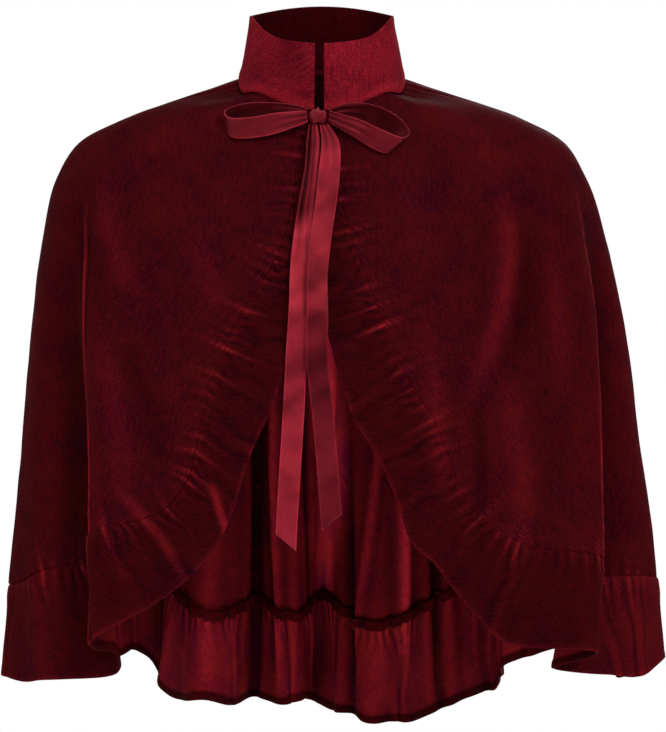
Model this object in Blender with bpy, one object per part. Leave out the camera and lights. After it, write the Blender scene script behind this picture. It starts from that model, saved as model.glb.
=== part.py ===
"""A short velvet cape with a stand collar, a gathered ruffle round its edge and a ribbon bow.

Lengths are in metres and +Z is up. The wearer faces -Y, so +X is the wearer's left. The origin is
the middle of the neck seam, level with the side of the neck, where the cape hangs on its wearer.

The cloth follows one surface, cape_point(angle, drop). angle runs round the body in degrees from
the centre front: 90 is the wearer's left side, 180 the centre back, 270 the right side. drop is 0
at the neck seam and 1 at the seam of the ruffle, and goes on past 1 down the ruffle.
"""

import math
from collections import namedtuple

import bmesh
import bpy
import numpy as np

CLOTH = 0.0020
RUFFLE_CLOTH = 0.0018
COLLAR_CLOTH = 0.0026
RIBBON_CLOTH = 0.0010
SEAM_GAP = 0.0003
RUFFLE_GAP = 0.0004
SHARP_ANGLE = 50.0

# The body's outline at each level: how far it reaches to the side, front and back, and its height there.
Section = namedtuple("Section", "drop side_x side_z front_y front_z back_y back_z corner shift_x")
SECTIONS = [
    Section(0.00, 0.0745, 0.003, 0.064, -0.028, 0.060, 0.008, 0.00, -0.001),
    Section(0.10, 0.1275, -0.018, 0.080, -0.062, 0.084, -0.023, 0.00, -0.001),
    Section(0.20, 0.1835, -0.040, 0.094, -0.100, 0.101, -0.062, 0.01, -0.001),
    Section(0.28, 0.2225, -0.062, 0.103, -0.130, 0.111, -0.099, 0.02, -0.001),
    Section(0.35, 0.2430, -0.092, 0.110, -0.155, 0.118, -0.134, 0.03, -0.001),
    Section(0.45, 0.2565, -0.145, 0.118, -0.192, 0.128, -0.190, 0.04, 0.001),
    Section(0.62, 0.2680, -0.242, 0.129, -0.252, 0.144, -0.290, 0.05, 0.005),
    Section(0.82, 0.2770, -0.355, 0.139, -0.320, 0.161, -0.408, 0.05, 0.0075),
    Section(1.00, 0.2855, -0.458, 0.147, -0.380, 0.176, -0.516, 0.05, 0.0095),
    Section(1.16, 0.2905, -0.549, 0.156, -0.452, 0.190, -0.611, 0.05, 0.0105),
]

# The hanging folds. A fold stands out of the body (or in, where out is below 0) and leans round it.
Fold = namedtuple("Fold", "name top_angle hem_angle spread out slide start")
FOLDS = [
    Fold("left_front_crest", 77.0, 41.0, 7.0, 0.016, 0.016, 0.30),
    Fold("left_front_valley", 88.0, 54.0, 6.5, -0.036, -0.022, 0.30),
    Fold("left_side", 96.0, 80.0, 9.0, 0.010, 0.000, 0.40),
    Fold("left_side_valley", 108.0, 104.0, 7.0, -0.016, 0.000, 0.35),
    Fold("left_back", 122.0, 121.0, 7.0, 0.016, 0.000, 0.35),
    Fold("left_back_valley", 137.0, 140.0, 6.0, -0.024, 0.014, 0.32),
    Fold("back_far_left", 155.0, 154.0, 7.0, 0.034, -0.014, 0.30),
    Fold("back_near_left", 166.0, 170.5, 7.5, -0.042, 0.004, 0.28),
    Fold("back_middle", 171.0, 182.0, 3.4, 0.029, 0.000, 0.30),
    Fold("back_near_middle", 188.5, 188.5, 4.0, -0.028, 0.000, 0.32),
    Fold("back_slot", 193.5, 194.3, 3.2, 0.020, 0.000, 0.35),
    Fold("back_near_right", 202.0, 203.5, 7.5, -0.036, 0.014, 0.28),
    Fold("back_far_right", 215.0, 218.0, 6.5, 0.028, -0.016, 0.30),
    Fold("right_back_valley", 228.0, 229.0, 6.0, -0.022, 0.000, 0.32),
    Fold("right_back", 242.0, 243.0, 6.0, 0.015, 0.000, 0.35),
    Fold("right_side_valley", 256.0, 258.0, 6.0, -0.012, 0.000, 0.35),
    Fold("right_side", 270.0, 276.0, 8.0, 0.010, 0.000, 0.40),
    Fold("right_front_valley", 288.0, 307.0, 7.0, -0.034, 0.018, 0.30),
    Fold("right_front_crest", 300.0, 321.5, 7.0, 0.016, -0.016, 0.30),
]
FOLD_GROWTH = 1.3
FOLD_LIFT = 0.30


# The sewn edge of each panel and the free edge of its ruffle, side by side: where each lies on the
# surface. A front's rows run down from the neck, round the corner row and along the hem to its side.
Edge = namedtuple("Edge", "seam_angle seam_drop edge_angle edge_drop")
LEFT_EDGE = [
    Edge(8.0, 0.000, 1.0, 0.004),
    Edge(6.0, 0.120, 0.5, 0.120),
    Edge(5.5, 0.252, 0.0, 0.260),
    Edge(8.5, 0.385, 0.0, 0.410),
    Edge(10.5, 0.492, 0.3, 0.535),
    Edge(14.5, 0.650, 3.5, 0.725),
    Edge(19.0, 0.758, 8.0, 0.845),
    Edge(21.3, 0.865, 11.0, 0.955),
    Edge(23.5, 0.935, 13.0, 1.040),
    Edge(26.0, 0.970, 17.0, 1.078),
    Edge(28.5, 0.992, 20.5, 1.120),
    Edge(31.5, 1.005, 24.5, 1.162),
    Edge(36.0, 1.012, 29.5, 1.198),
    Edge(44.0, 1.010, 40.0, 1.200),
    Edge(58.5, 1.000, 58.0, 1.155),
    Edge(78.0, 1.000, 78.0, 1.150),
    Edge(90.0, 1.000, 90.0, 1.150),
]
RIGHT_EDGE = [
    Edge(-10.5, 0.000, -4.5, 0.004),
    Edge(-8.5, 0.120, -3.8, 0.120),
    Edge(-7.5, 0.265, -3.0, 0.280),
    Edge(-10.0, 0.375, -3.2, 0.395),
    Edge(-14.5, 0.460, -5.0, 0.480),
    Edge(-17.5, 0.532, -7.0, 0.565),
    Edge(-21.0, 0.628, -10.2, 0.705),
    Edge(-22.8, 0.710, -13.2, 0.795),
    Edge(-24.0, 0.792, -15.5, 0.875),
    Edge(-25.3, 0.868, -17.3, 0.965),
    Edge(-28.0, 0.928, -19.8, 1.030),
    Edge(-31.0, 0.955, -24.0, 1.080),
    Edge(-35.0, 0.970, -28.0, 1.115),
    Edge(-44.0, 0.975, -34.0, 1.148),
    Edge(-56.0, 0.982, -48.0, 1.150),
    Edge(-68.0, 1.000, -65.0, 1.165),
    Edge(-80.0, 1.010, -80.0, 1.165),
    Edge(-90.0, 1.015, -90.0, 1.165),
]
BACK_EDGE = [
    Edge(90.0, 1.000, 90.0, 1.150),
    Edge(105.0, 1.000, 105.0, 1.145),
    Edge(122.0, 0.980, 122.0, 1.115),
    Edge(136.0, 0.965, 136.0, 1.100),
    Edge(143.0, 0.975, 142.0, 1.120),
    Edge(150.0, 0.990, 148.0, 1.175),
    Edge(159.0, 1.000, 159.0, 1.180),
    Edge(168.0, 1.005, 168.0, 1.160),
    Edge(176.0, 1.000, 176.0, 1.150),
    Edge(182.0, 0.995, 182.5, 1.120),
    Edge(188.0, 1.000, 188.0, 1.145),
    Edge(195.0, 1.000, 195.0, 1.150),
    Edge(204.0, 1.000, 204.0, 1.145),
    Edge(211.0, 0.995, 212.0, 1.170),
    Edge(218.0, 0.980, 218.0, 1.120),
    Edge(228.0, 0.965, 227.0, 1.100),
    Edge(250.0, 0.975, 250.0, 1.130),
    Edge(260.0, 1.000, 260.0, 1.155),
    Edge(270.0, 1.015, 270.0, 1.165),
]
LEFT_CORNER = 9
RIGHT_CORNER = 11

# Each panel's mesh: how many columns run down it and how many rows run round it.
FRONT_COLUMNS = 26
FRONT_ROWS = 17
BACK_COLUMNS = 54
BACK_ROWS = 14
SAMPLES_PER_ROW = 60

# The side seams, where the back meets the fronts, and the middle of each panel.
LEFT_SEAM = 90.0
RIGHT_SEAM = 270.0
PANEL_MIDDLE = {"front_left": (60.0, 0.5), "front_right": (-60.0, 0.5), "back": (180.0, 0.5)}

# The ruffle is gathered at its seam, and its gathers open into broader waves at its hem.
GATHER_SPACING = 0.0150
GATHER_CHANGE = 0.2
GATHER_CHANGE_RATE = 2.3
FADE_COLUMNS = 3
Rank = namedtuple("Rank", "share gather wave")
RUFFLE_RANKS = [
    Rank(0.00, 0.0000, 0.0000),
    Rank(0.13, 0.0021, 0.0004),
    Rank(0.50, 0.0012, 0.0020),
    Rank(1.00, 0.0004, 0.0034),
]
WAVE_LENGTHS = (0.048, 0.071)

# The collar's outline: its share of the height, and how far each ring reaches to the side, front and back.
Ring = namedtuple("Ring", "share side_x front_y back_y")
COLLAR_RINGS = [
    Ring(0.0, 0.0750, 0.0650, 0.0610),
    Ring(0.3, 0.0712, 0.0620, 0.0590),
    Ring(0.7, 0.0675, 0.0580, 0.0545),
    Ring(1.0, 0.0645, 0.0555, 0.0510),
]
COLLAR_HEIGHT = 0.060
COLLAR_SLIT = (-5.0, 1.7)
COLLAR_COLUMNS = 36
COLLAR_ROWS = 5
COLLAR_DIP = 0.09
COLLAR_SHIFT = -0.001

# The ribbon's stations: the middle of the ribbon, the way its width points, and its width there.
Station = namedtuple("Station", "x y z across_x across_y across_z width")
LOOP_RIGHT = [
    Station(-0.0135, -0.0755, -0.0310, 0.05, -0.30, 0.95, 0.010),
    Station(-0.0260, -0.0740, -0.0295, 0.05, -0.45, 0.90, 0.016),
    Station(-0.0480, -0.0705, -0.0285, 0.02, -0.50, 0.85, 0.019),
    Station(-0.0700, -0.0670, -0.0295, 0.00, -0.50, 0.85, 0.019),
    Station(-0.0850, -0.0675, -0.0355, -0.10, -0.45, 0.88, 0.019),
    Station(-0.0800, -0.0760, -0.0425, -0.12, -0.30, 0.94, 0.019),
    Station(-0.0600, -0.0815, -0.0420, -0.08, -0.22, 0.97, 0.019),
    Station(-0.0390, -0.0835, -0.0380, -0.10, -0.18, 0.97, 0.018),
    Station(-0.0135, -0.0860, -0.0325, -0.12, -0.15, 0.97, 0.010),
]
LOOP_LEFT = [
    Station(0.0055, -0.0755, -0.0310, -0.05, -0.30, 0.95, 0.010),
    Station(0.0220, -0.0740, -0.0280, 0.05, -0.45, 0.90, 0.016),
    Station(0.0410, -0.0725, -0.0295, 0.15, -0.50, 0.85, 0.019),
    Station(0.0600, -0.0740, -0.0380, 0.45, -0.45, 0.75, 0.019),
    Station(0.0700, -0.0785, -0.0500, 0.75, -0.35, 0.50, 0.019),
    Station(0.0650, -0.0860, -0.0580, 0.65, -0.20, 0.70, 0.019),
    Station(0.0500, -0.0875, -0.0535, 0.35, -0.15, 0.90, 0.019),
    Station(0.0310, -0.0870, -0.0435, 0.20, -0.15, 0.95, 0.017),
    Station(0.0055, -0.0860, -0.0325, 0.10, -0.15, 0.97, 0.010),
]
TAIL_RIGHT = [
    Station(-0.0085, -0.0815, -0.0400, 0.95, 0.20, 0.00, 0.008),
    Station(-0.0070, -0.0875, -0.0560, 0.85, 0.40, 0.00, 0.012),
    Station(-0.0090, -0.0965, -0.0760, 0.80, 0.45, 0.00, 0.016),
    Station(-0.0145, -0.1065, -0.1080, 0.97, 0.15, 0.00, 0.019),
    Station(-0.0180, -0.1200, -0.1550, 0.99, -0.05, 0.00, 0.019),
    Station(-0.0200, -0.1325, -0.2000, 0.99, 0.05, 0.00, 0.019),
    Station(-0.0228, -0.1350, -0.2450, 0.99, 0.05, 0.00, 0.019),
    Station(-0.0255, -0.1350, -0.2950, 0.99, 0.05, 0.00, 0.019),
    Station(-0.0290, -0.1350, -0.3500, 0.99, -0.03, 0.00, 0.019),
    Station(-0.0322, -0.1350, -0.4050, 0.99, -0.03, 0.00, 0.019),
]
TAIL_LEFT = [
    Station(0.0015, -0.0820, -0.0400, 0.95, -0.20, 0.00, 0.008),
    Station(0.0070, -0.0920, -0.0560, 0.97, -0.10, 0.00, 0.016),
    Station(0.0060, -0.1020, -0.0800, 0.99, -0.05, 0.05, 0.019),
    Station(0.0030, -0.1120, -0.1080, 0.99, 0.05, 0.05, 0.019),
    Station(-0.0035, -0.1265, -0.1550, 0.96, 0.30, 0.03, 0.019),
    Station(-0.0045, -0.1385, -0.2000, 0.97, 0.25, -0.02, 0.019),
    Station(-0.0045, -0.1400, -0.2450, 0.99, 0.10, -0.05, 0.019),
    Station(0.0000, -0.1380, -0.2900, 0.99, 0.00, -0.08, 0.019),
    Station(0.0045, -0.1360, -0.3400, 0.99, 0.05, -0.06, 0.019),
    Station(0.0080, -0.1350, -0.3870, 0.99, 0.05, -0.05, 0.019),
]
TAIL_SLANT = 0.0075
RIBBON_ROWS = 26
KNOT_CENTRE = (-0.004, -0.0815, -0.0325)
KNOT_SIZE = (0.0180, 0.0130, 0.0140)
KNOT_ROUNDING = 0.0042
KNOT_SEGMENTS = 3

VELVET_COLOUR = (0.054, 0.0035, 0.006)
VELVET_ROUGHNESS = 0.9
RIBBON_COLOUR = (0.270, 0.020, 0.036)
RIBBON_ROUGHNESS = 0.35

# The small steps over which the way out of the surface is measured, in degrees and in drop.
TURN_STEP = 0.05
DROP_STEP = 0.0005


def along(rows, name, at):
    """A smooth curve through one named column of a table, read at these values of its first column."""
    knots = np.array([row[0] for row in rows], float)
    values = np.array([getattr(row, name) for row in rows], float)
    slopes = np.gradient(values, knots)
    at = np.asarray(at, float)
    i = np.clip(np.searchsorted(knots, at) - 1, 0, len(knots) - 2)
    step = knots[i + 1] - knots[i]
    t = (at - knots[i]) / step
    return (
        values[i] * (2 * t**3 - 3 * t**2 + 1)
        + slopes[i] * step * (t**3 - 2 * t**2 + t)
        + values[i + 1] * (3 * t**2 - 2 * t**3)
        + slopes[i + 1] * step * (t**3 - t**2)
    )


def cape_point(angle, drop):
    """Points of the cape's surface, as an array of x, y, z."""
    angle, drop = np.broadcast_arrays(np.asarray(angle, float), np.asarray(drop, float))
    turn = np.radians(angle)
    side, front = np.sin(turn), np.cos(turn)
    facing = front > 0
    depth = np.where(facing, along(SECTIONS, "front_y", drop), along(SECTIONS, "back_y", drop))
    end_z = np.where(facing, along(SECTIONS, "front_z", drop), along(SECTIONS, "back_z", drop))
    reach = along(SECTIONS, "side_x", drop)
    square = 1 + along(SECTIONS, "corner", drop) * np.sin(2 * turn) ** 2
    x = along(SECTIONS, "shift_x", drop) + reach * side * square
    y = -depth * front * square
    z = along(SECTIONS, "side_z", drop) * side**2 + end_z * front**2
    out = np.stack([side * depth, -front * reach], axis=-1)
    out /= np.linalg.norm(out, axis=-1, keepdims=True)
    height, slide = np.zeros_like(x), np.zeros_like(x)
    for fold in FOLDS:
        centre = fold.top_angle + (fold.hem_angle - fold.top_angle) * drop
        away = (angle - centre + 180) % 360 - 180
        grown = np.clip((drop - fold.start) / (1 - fold.start), 0, None) ** FOLD_GROWTH
        shape = grown * np.exp(-((away / fold.spread) ** 2))
        height += fold.out * shape
        slide += fold.slide * shape
    x = x + out[..., 0] * height - out[..., 1] * slide
    y = y + out[..., 1] * height + out[..., 0] * slide
    z = z + FOLD_LIFT * height
    return np.stack([x, y, z], axis=-1)


def cape_normal(angle, drop):
    """The way out of the cape at these points, square to the cloth and one long."""
    across = cape_point(angle + TURN_STEP, drop) - cape_point(angle - TURN_STEP, drop)
    down = cape_point(angle, drop + DROP_STEP) - cape_point(angle, drop - DROP_STEP)
    out = np.cross(down, across)
    return out / np.linalg.norm(out, axis=-1, keepdims=True)


def through(values, at):
    """A smooth curve through a list of values, read at these places, counted in values from 0."""
    values = np.asarray(values, float)
    slopes = np.gradient(values, axis=0)
    at = np.asarray(at, float)
    i = np.clip(at.astype(int), 0, len(values) - 2)
    t = at - i
    if values.ndim == 2:
        t = t[:, None]
    return (
        values[i] * (2 * t**3 - 3 * t**2 + 1)
        + slopes[i] * (t**3 - 2 * t**2 + t)
        + values[i + 1] * (3 * t**2 - 2 * t**3)
        + slopes[i + 1] * (t**3 - t**2)
    )


def lengths(points):
    """How far along a line of points each one is."""
    steps = np.linalg.norm(np.diff(points, axis=0), axis=1)
    return np.concatenate([[0.0], np.cumsum(steps)])


def half_gap(depth_name, drop):
    """Half of a side seam's gap, in degrees round the body."""
    return np.degrees(SEAM_GAP / 2 / along(SECTIONS, depth_name, drop))


def read_edge(edge, places):
    """The sewn edge's angles and drops at these places, counted in rows of its table."""
    angles = through([row.seam_angle for row in edge], places)
    drops = through([row.seam_drop for row in edge], places)
    return np.stack([angles, drops], axis=1)


def make_material(name, colour, roughness):
    """A plain cloth finish."""
    material = bpy.data.materials.new(name)
    material.use_nodes = True
    shader = material.node_tree.nodes["Principled BSDF"]
    shader.inputs["Base Color"].default_value = (*colour, 1.0)
    shader.inputs["Roughness"].default_value = roughness
    shader.inputs["Metallic"].default_value = 0.0
    return material


def make_wall(name, outer, inner, material):
    """A closed wall of cloth between two grids of points, one on each of its faces.

    Each square of the grid is cut into triangles on its shorter diagonal, the same way on both
    faces, so the wall keeps its thickness where the cloth twists.
    """
    rows, columns = outer.shape[:2]
    mesh = bpy.data.meshes.new(name)
    form = bmesh.new()
    front = [[form.verts.new(outer[i, j]) for j in range(columns)] for i in range(rows)]
    back = [[form.verts.new(inner[i, j]) for j in range(columns)] for i in range(rows)]
    middle = (outer + inner) / 2
    falling = np.linalg.norm(middle[1:, 1:] - middle[:-1, :-1], axis=2)
    rising = np.linalg.norm(middle[1:, :-1] - middle[:-1, 1:], axis=2)
    for i in range(rows - 1):
        for j in range(columns - 1):
            for side in (front, back):
                square = [side[i][j], side[i + 1][j], side[i + 1][j + 1], side[i][j + 1]]
                if falling[i, j] > rising[i, j]:
                    square = square[1:] + square[:1]
                form.faces.new((square[0], square[1], square[2]))
                form.faces.new((square[0], square[2], square[3]))
    rim = [(0, j) for j in range(columns)]
    rim += [(i, columns - 1) for i in range(1, rows)]
    rim += [(rows - 1, j) for j in range(columns - 2, -1, -1)]
    rim += [(i, 0) for i in range(rows - 2, 0, -1)]
    for (i, j), (k, m) in zip(rim, rim[1:] + rim[:1]):
        form.faces.new((front[i][j], front[k][m], back[k][m], back[i][j]))
    bmesh.ops.recalc_face_normals(form, faces=form.faces)
    form.to_mesh(mesh)
    form.free()
    mesh.shade_smooth()
    mesh.set_sharp_from_angle(angle=math.radians(SHARP_ANGLE))
    mesh.materials.append(material)
    piece = bpy.data.objects.new(name, mesh)
    bpy.context.scene.collection.objects.link(piece)
    return piece


def front_grid(edge, corner):
    """Angles and drops of a front panel's mesh, and where its sewn edge meets the edge's rows."""
    side = edge[-1].seam_angle
    places = np.linspace(0, len(edge) - 1, SAMPLES_PER_ROW * len(edge))
    seam = read_edge(edge, places)
    drops = np.linspace(0, 1, FRONT_ROWS)
    down = places <= corner
    left_place = np.interp(drops * edge[corner].seam_drop, seam[down, 1], places[down])
    walked = lengths(cape_point(seam[~down, 0], seam[~down, 1]))
    bottom_place = np.interp(np.linspace(0, walked[-1], FRONT_COLUMNS), walked, places[~down])
    bottom_place[0] = corner
    left = read_edge(edge, left_place)
    bottom = read_edge(edge, bottom_place)
    across = (bottom[:, 0] - bottom[0, 0]) / (bottom[-1, 0] - bottom[0, 0])
    grid = np.zeros((FRONT_ROWS, FRONT_COLUMNS, 2))
    for i, v in enumerate(drops):
        for j, u in enumerate(across):
            top = np.array([left[0, 0] + (side - left[0, 0]) * u, 0.0])
            right = np.array([side, v * edge[-1].seam_drop])
            corners = (
                (1 - u) * (1 - v) * left[0]
                + u * (1 - v) * np.array([side, 0.0])
                + (1 - u) * v * left[-1]
                + u * v * bottom[-1]
            )
            grid[i, j] = (1 - v) * top + v * bottom[j] + (1 - u) * left[i] + u * right - corners
    grid[:, -1, 0] -= math.copysign(1.0, side) * half_gap("front_y", grid[:, -1, 1])
    seam_line = [(i, 0) for i in range(FRONT_ROWS)]
    seam_line += [(FRONT_ROWS - 1, j) for j in range(1, FRONT_COLUMNS)]
    seam_place = np.concatenate([left_place, bottom_place[1:]])
    return grid, seam_line, seam_place


def back_grid():
    """Angles and drops of the back panel's mesh, and where its sewn edge meets the edge's rows."""
    places = np.linspace(0, len(BACK_EDGE) - 1, SAMPLES_PER_ROW * len(BACK_EDGE))
    seam = read_edge(BACK_EDGE, places)
    walked = lengths(cape_point(seam[:, 0], seam[:, 1]))
    seam_place = np.interp(np.linspace(0, walked[-1], BACK_COLUMNS), walked, places)
    hem = read_edge(BACK_EDGE, seam_place)
    grid = np.repeat(hem[None, :, :], BACK_ROWS, axis=0)
    grid[:, :, 1] *= np.linspace(0, 1, BACK_ROWS)[:, None]
    grid[:, 0, 0] += half_gap("back_y", grid[:, 0, 1])
    grid[:, -1, 0] -= half_gap("back_y", grid[:, -1, 1])
    seam_line = [(BACK_ROWS - 1, j) for j in range(BACK_COLUMNS)]
    return grid, seam_line, seam_place


def make_panel(name, grid, material):
    """A panel of the body. Gives back its middle surface and the way out of it."""
    middle = cape_point(grid[..., 0], grid[..., 1])
    out = cape_normal(grid[..., 0], grid[..., 1])
    make_wall(name, middle + out * CLOTH / 2, middle - out * CLOTH / 2, material)
    return middle, out


def make_ruffle(panel, edge, middle, out, seam_line, seam_place, material):
    """The gathered strip along a panel's sewn edge, from the panel's own points there to its free edge."""
    seam = np.array([middle[i, j] for i, j in seam_line])
    normal = np.array([out[i, j] for i, j in seam_line])
    inner_point = cape_point(*PANEL_MIDDLE[panel])
    tangent = np.gradient(seam, axis=0)
    away = np.cross(tangent, normal)
    away /= np.linalg.norm(away, axis=1, keepdims=True)
    if np.dot(away[len(away) // 2], seam[len(seam) // 2] - inner_point) < 0:
        away = -away
    walked = lengths(seam)
    at = [0.0]
    for start, end in zip(walked[:-1], walked[1:]):
        gathers = max(1, round(end / GATHER_SPACING) - round(start / GATHER_SPACING))
        at.extend(np.linspace(start, end, 2 * gathers + 1)[1:])
    at = np.array(at)
    columns = len(at)

    def on_seam(values):
        return np.stack([np.interp(at, walked, values[:, k]) for k in range(3)], axis=1)

    place = np.interp(at, walked, seam_place)
    sewn = read_edge(edge, place)
    edge_angle = through([row.edge_angle for row in edge], place)
    edge_drop = through([row.edge_drop for row in edge], place)
    count = np.arange(columns)
    fade = np.clip(np.minimum(count, columns - 1 - count) / FADE_COLUMNS, 0, 1)
    fade = fade * fade * (3 - 2 * fade)
    depth = 1 - GATHER_CHANGE + GATHER_CHANGE * np.sin(GATHER_CHANGE_RATE * count)
    gather = np.where(count % 2 == 0, depth, -depth) * fade
    wave = fade * sum(np.sin(2 * math.pi * at / length) for length in WAVE_LENGTHS) / 2
    low, high, depth_name = -LEFT_SEAM, LEFT_SEAM, "front_y"
    if panel == "back":
        low, high, depth_name = LEFT_SEAM, RIGHT_SEAM, "back_y"
    outer, inner = [], []
    for rank in RUFFLE_RANKS:
        if rank.share == 0:
            step = on_seam(away)
            base = on_seam(seam) + step / np.linalg.norm(step, axis=1, keepdims=True) * RUFFLE_GAP
            way = on_seam(normal)
        else:
            angle = sewn[:, 0] + (edge_angle - sewn[:, 0]) * rank.share
            drop = sewn[:, 1] + (edge_drop - sewn[:, 1]) * rank.share
            gap = half_gap(depth_name, drop)
            angle = np.clip(angle, low + gap, high - gap)
            base = cape_point(angle, drop)
            way = cape_normal(angle, drop)
        height = (gather * rank.gather + wave * rank.wave)[:, None]
        outer.append(base + way * (height + RUFFLE_CLOTH / 2))
        inner.append(base + way * (height - RUFFLE_CLOTH / 2))
    make_wall("ruffle_" + panel, np.array(outer), np.array(inner), material)


def make_collar(material):
    """The stand collar, a band open at the centre front, set just above the neck seam."""
    low, high = COLLAR_SLIT
    angles = np.linspace(high, 360 + low, COLLAR_COLUMNS)
    turn = np.radians(angles)
    foot = cape_point(angles, 0.0) + cape_normal(angles, 0.0) * (CLOTH / 2 + SEAM_GAP)
    outer, inner = [], []
    for share in np.linspace(0, 1, COLLAR_ROWS):
        side_x = along(COLLAR_RINGS, "side_x", share)
        depth = np.where(np.cos(turn) > 0, along(COLLAR_RINGS, "front_y", share),
                         along(COLLAR_RINGS, "back_y", share))
        x = COLLAR_SHIFT + side_x * np.sin(turn)
        y = -depth * np.cos(turn)
        z = foot[:, 2] + SEAM_GAP + COLLAR_HEIGHT * share * (1 - COLLAR_DIP * np.sin(turn) ** 2)
        out = np.stack([np.sin(turn) * depth, -np.cos(turn) * side_x, np.zeros_like(x)], axis=1)
        out /= np.linalg.norm(out, axis=1, keepdims=True)
        middle = np.stack([x, y, z], axis=1)
        if share == 0:
            middle[:, :2] = foot[:, :2]
        outer.append(middle + out * COLLAR_CLOTH / 2)
        inner.append(middle - out * COLLAR_CLOTH / 2)
    make_wall("collar", np.array(outer), np.array(inner), material)


def make_ribbon(name, stations, slant, material):
    """A length of ribbon through its stations. Its far end is cut aslant by slant."""
    table = np.array(stations, float)
    read = through(table, np.linspace(0, len(table) - 1, RIBBON_ROWS))
    middle, width = read[:, :3], read[:, 6:7]
    across = read[:, 3:6] / np.linalg.norm(read[:, 3:6], axis=1, keepdims=True)
    tangent = np.gradient(middle, axis=0)
    tangent /= np.linalg.norm(tangent, axis=1, keepdims=True)
    out = np.cross(tangent, across)
    out /= np.linalg.norm(out, axis=1, keepdims=True)
    outer, inner = [], []
    for side in (-1.0, 0.0, 1.0):
        line = middle + across * width * side / 2
        line[-1] += tangent[-1] * slant * side
        outer.append(line + out * RIBBON_CLOTH / 2)
        inner.append(line - out * RIBBON_CLOTH / 2)
    make_wall(name, np.array(outer), np.array(inner), material)


def make_knot(material):
    """The bow's knot, a rounded block of wrapped ribbon."""
    mesh = bpy.data.meshes.new("ribbon_knot")
    form = bmesh.new()
    bmesh.ops.create_cube(form, size=1.0)
    bmesh.ops.scale(form, vec=KNOT_SIZE, verts=form.verts)
    bmesh.ops.bevel(form, geom=form.edges[:], offset=KNOT_ROUNDING, segments=KNOT_SEGMENTS,
                    affect="EDGES", profile=0.5)
    bmesh.ops.translate(form, vec=KNOT_CENTRE, verts=form.verts)
    form.to_mesh(mesh)
    form.free()
    mesh.shade_smooth()
    mesh.materials.append(material)
    knot = bpy.data.objects.new("ribbon_knot", mesh)
    bpy.context.scene.collection.objects.link(knot)


def main():
    for old in list(bpy.data.objects):
        bpy.data.objects.remove(old)
    velvet = make_material("velvet", VELVET_COLOUR, VELVET_ROUGHNESS)
    satin = make_material("satin ribbon", RIBBON_COLOUR, RIBBON_ROUGHNESS)
    panels = (
        ("front_left", LEFT_EDGE, front_grid(LEFT_EDGE, LEFT_CORNER)),
        ("front_right", RIGHT_EDGE, front_grid(RIGHT_EDGE, RIGHT_CORNER)),
        ("back", BACK_EDGE, back_grid()),
    )
    for panel, edge, (grid, seam_line, seam_place) in panels:
        middle, out = make_panel(panel, grid, velvet)
        make_ruffle(panel, edge, middle, out, seam_line, seam_place, velvet)
    make_collar(velvet)
    make_knot(satin)
    make_ribbon("ribbon_loop_left", LOOP_LEFT, 0.0, satin)
    make_ribbon("ribbon_loop_right", LOOP_RIGHT, 0.0, satin)
    make_ribbon("ribbon_tail_left", TAIL_LEFT, -TAIL_SLANT, satin)
    make_ribbon("ribbon_tail_right", TAIL_RIGHT, TAIL_SLANT, satin)


main()
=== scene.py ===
"""The looks of a short velvet cape with a stand collar, a gathered ruffle and a satin ribbon bow.

Every piece of cloth is a fine thin shell. The velvet follows one surface, cape_point(angle, drop).
angle runs round the body in degrees from the centre front: 90 is the wearer's left side and 180 the
centre back. drop is 0 at the neck seam and 1 at the ruffle's seam, and goes on down the ruffle.
Lengths are in metres and +Z is up.
"""

import math
from collections import namedtuple

import bpy
import numpy as np
from mathutils import Matrix, Vector


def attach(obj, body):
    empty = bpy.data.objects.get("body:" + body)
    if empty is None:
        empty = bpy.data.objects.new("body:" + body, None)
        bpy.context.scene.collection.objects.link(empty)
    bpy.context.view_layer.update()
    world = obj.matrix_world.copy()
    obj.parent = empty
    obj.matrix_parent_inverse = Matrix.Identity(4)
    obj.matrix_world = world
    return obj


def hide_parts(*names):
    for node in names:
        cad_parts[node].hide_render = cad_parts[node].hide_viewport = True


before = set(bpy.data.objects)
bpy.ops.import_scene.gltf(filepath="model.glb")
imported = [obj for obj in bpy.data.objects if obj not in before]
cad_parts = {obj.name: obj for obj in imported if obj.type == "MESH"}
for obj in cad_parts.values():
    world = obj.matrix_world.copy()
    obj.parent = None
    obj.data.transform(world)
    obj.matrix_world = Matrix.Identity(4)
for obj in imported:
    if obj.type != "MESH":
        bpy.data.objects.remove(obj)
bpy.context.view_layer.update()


def named(kind, table):
    """A table whose rows have named columns."""
    return [kind(*row) for row in table]


# Cloth thicknesses, and the width of what is turned in at the seams and hems.
VELVET = 0.0019
COLLAR_CLOTH = 0.0026
RIBBON_CLOTH = 0.0007
SEAM_GAP = 0.0003
SEAM_TURNING = 0.0080
SIDE_TURNING = 0.0100
HEM_TURNING = 0.0085
RIBBON_WIDTH = 0.019

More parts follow.
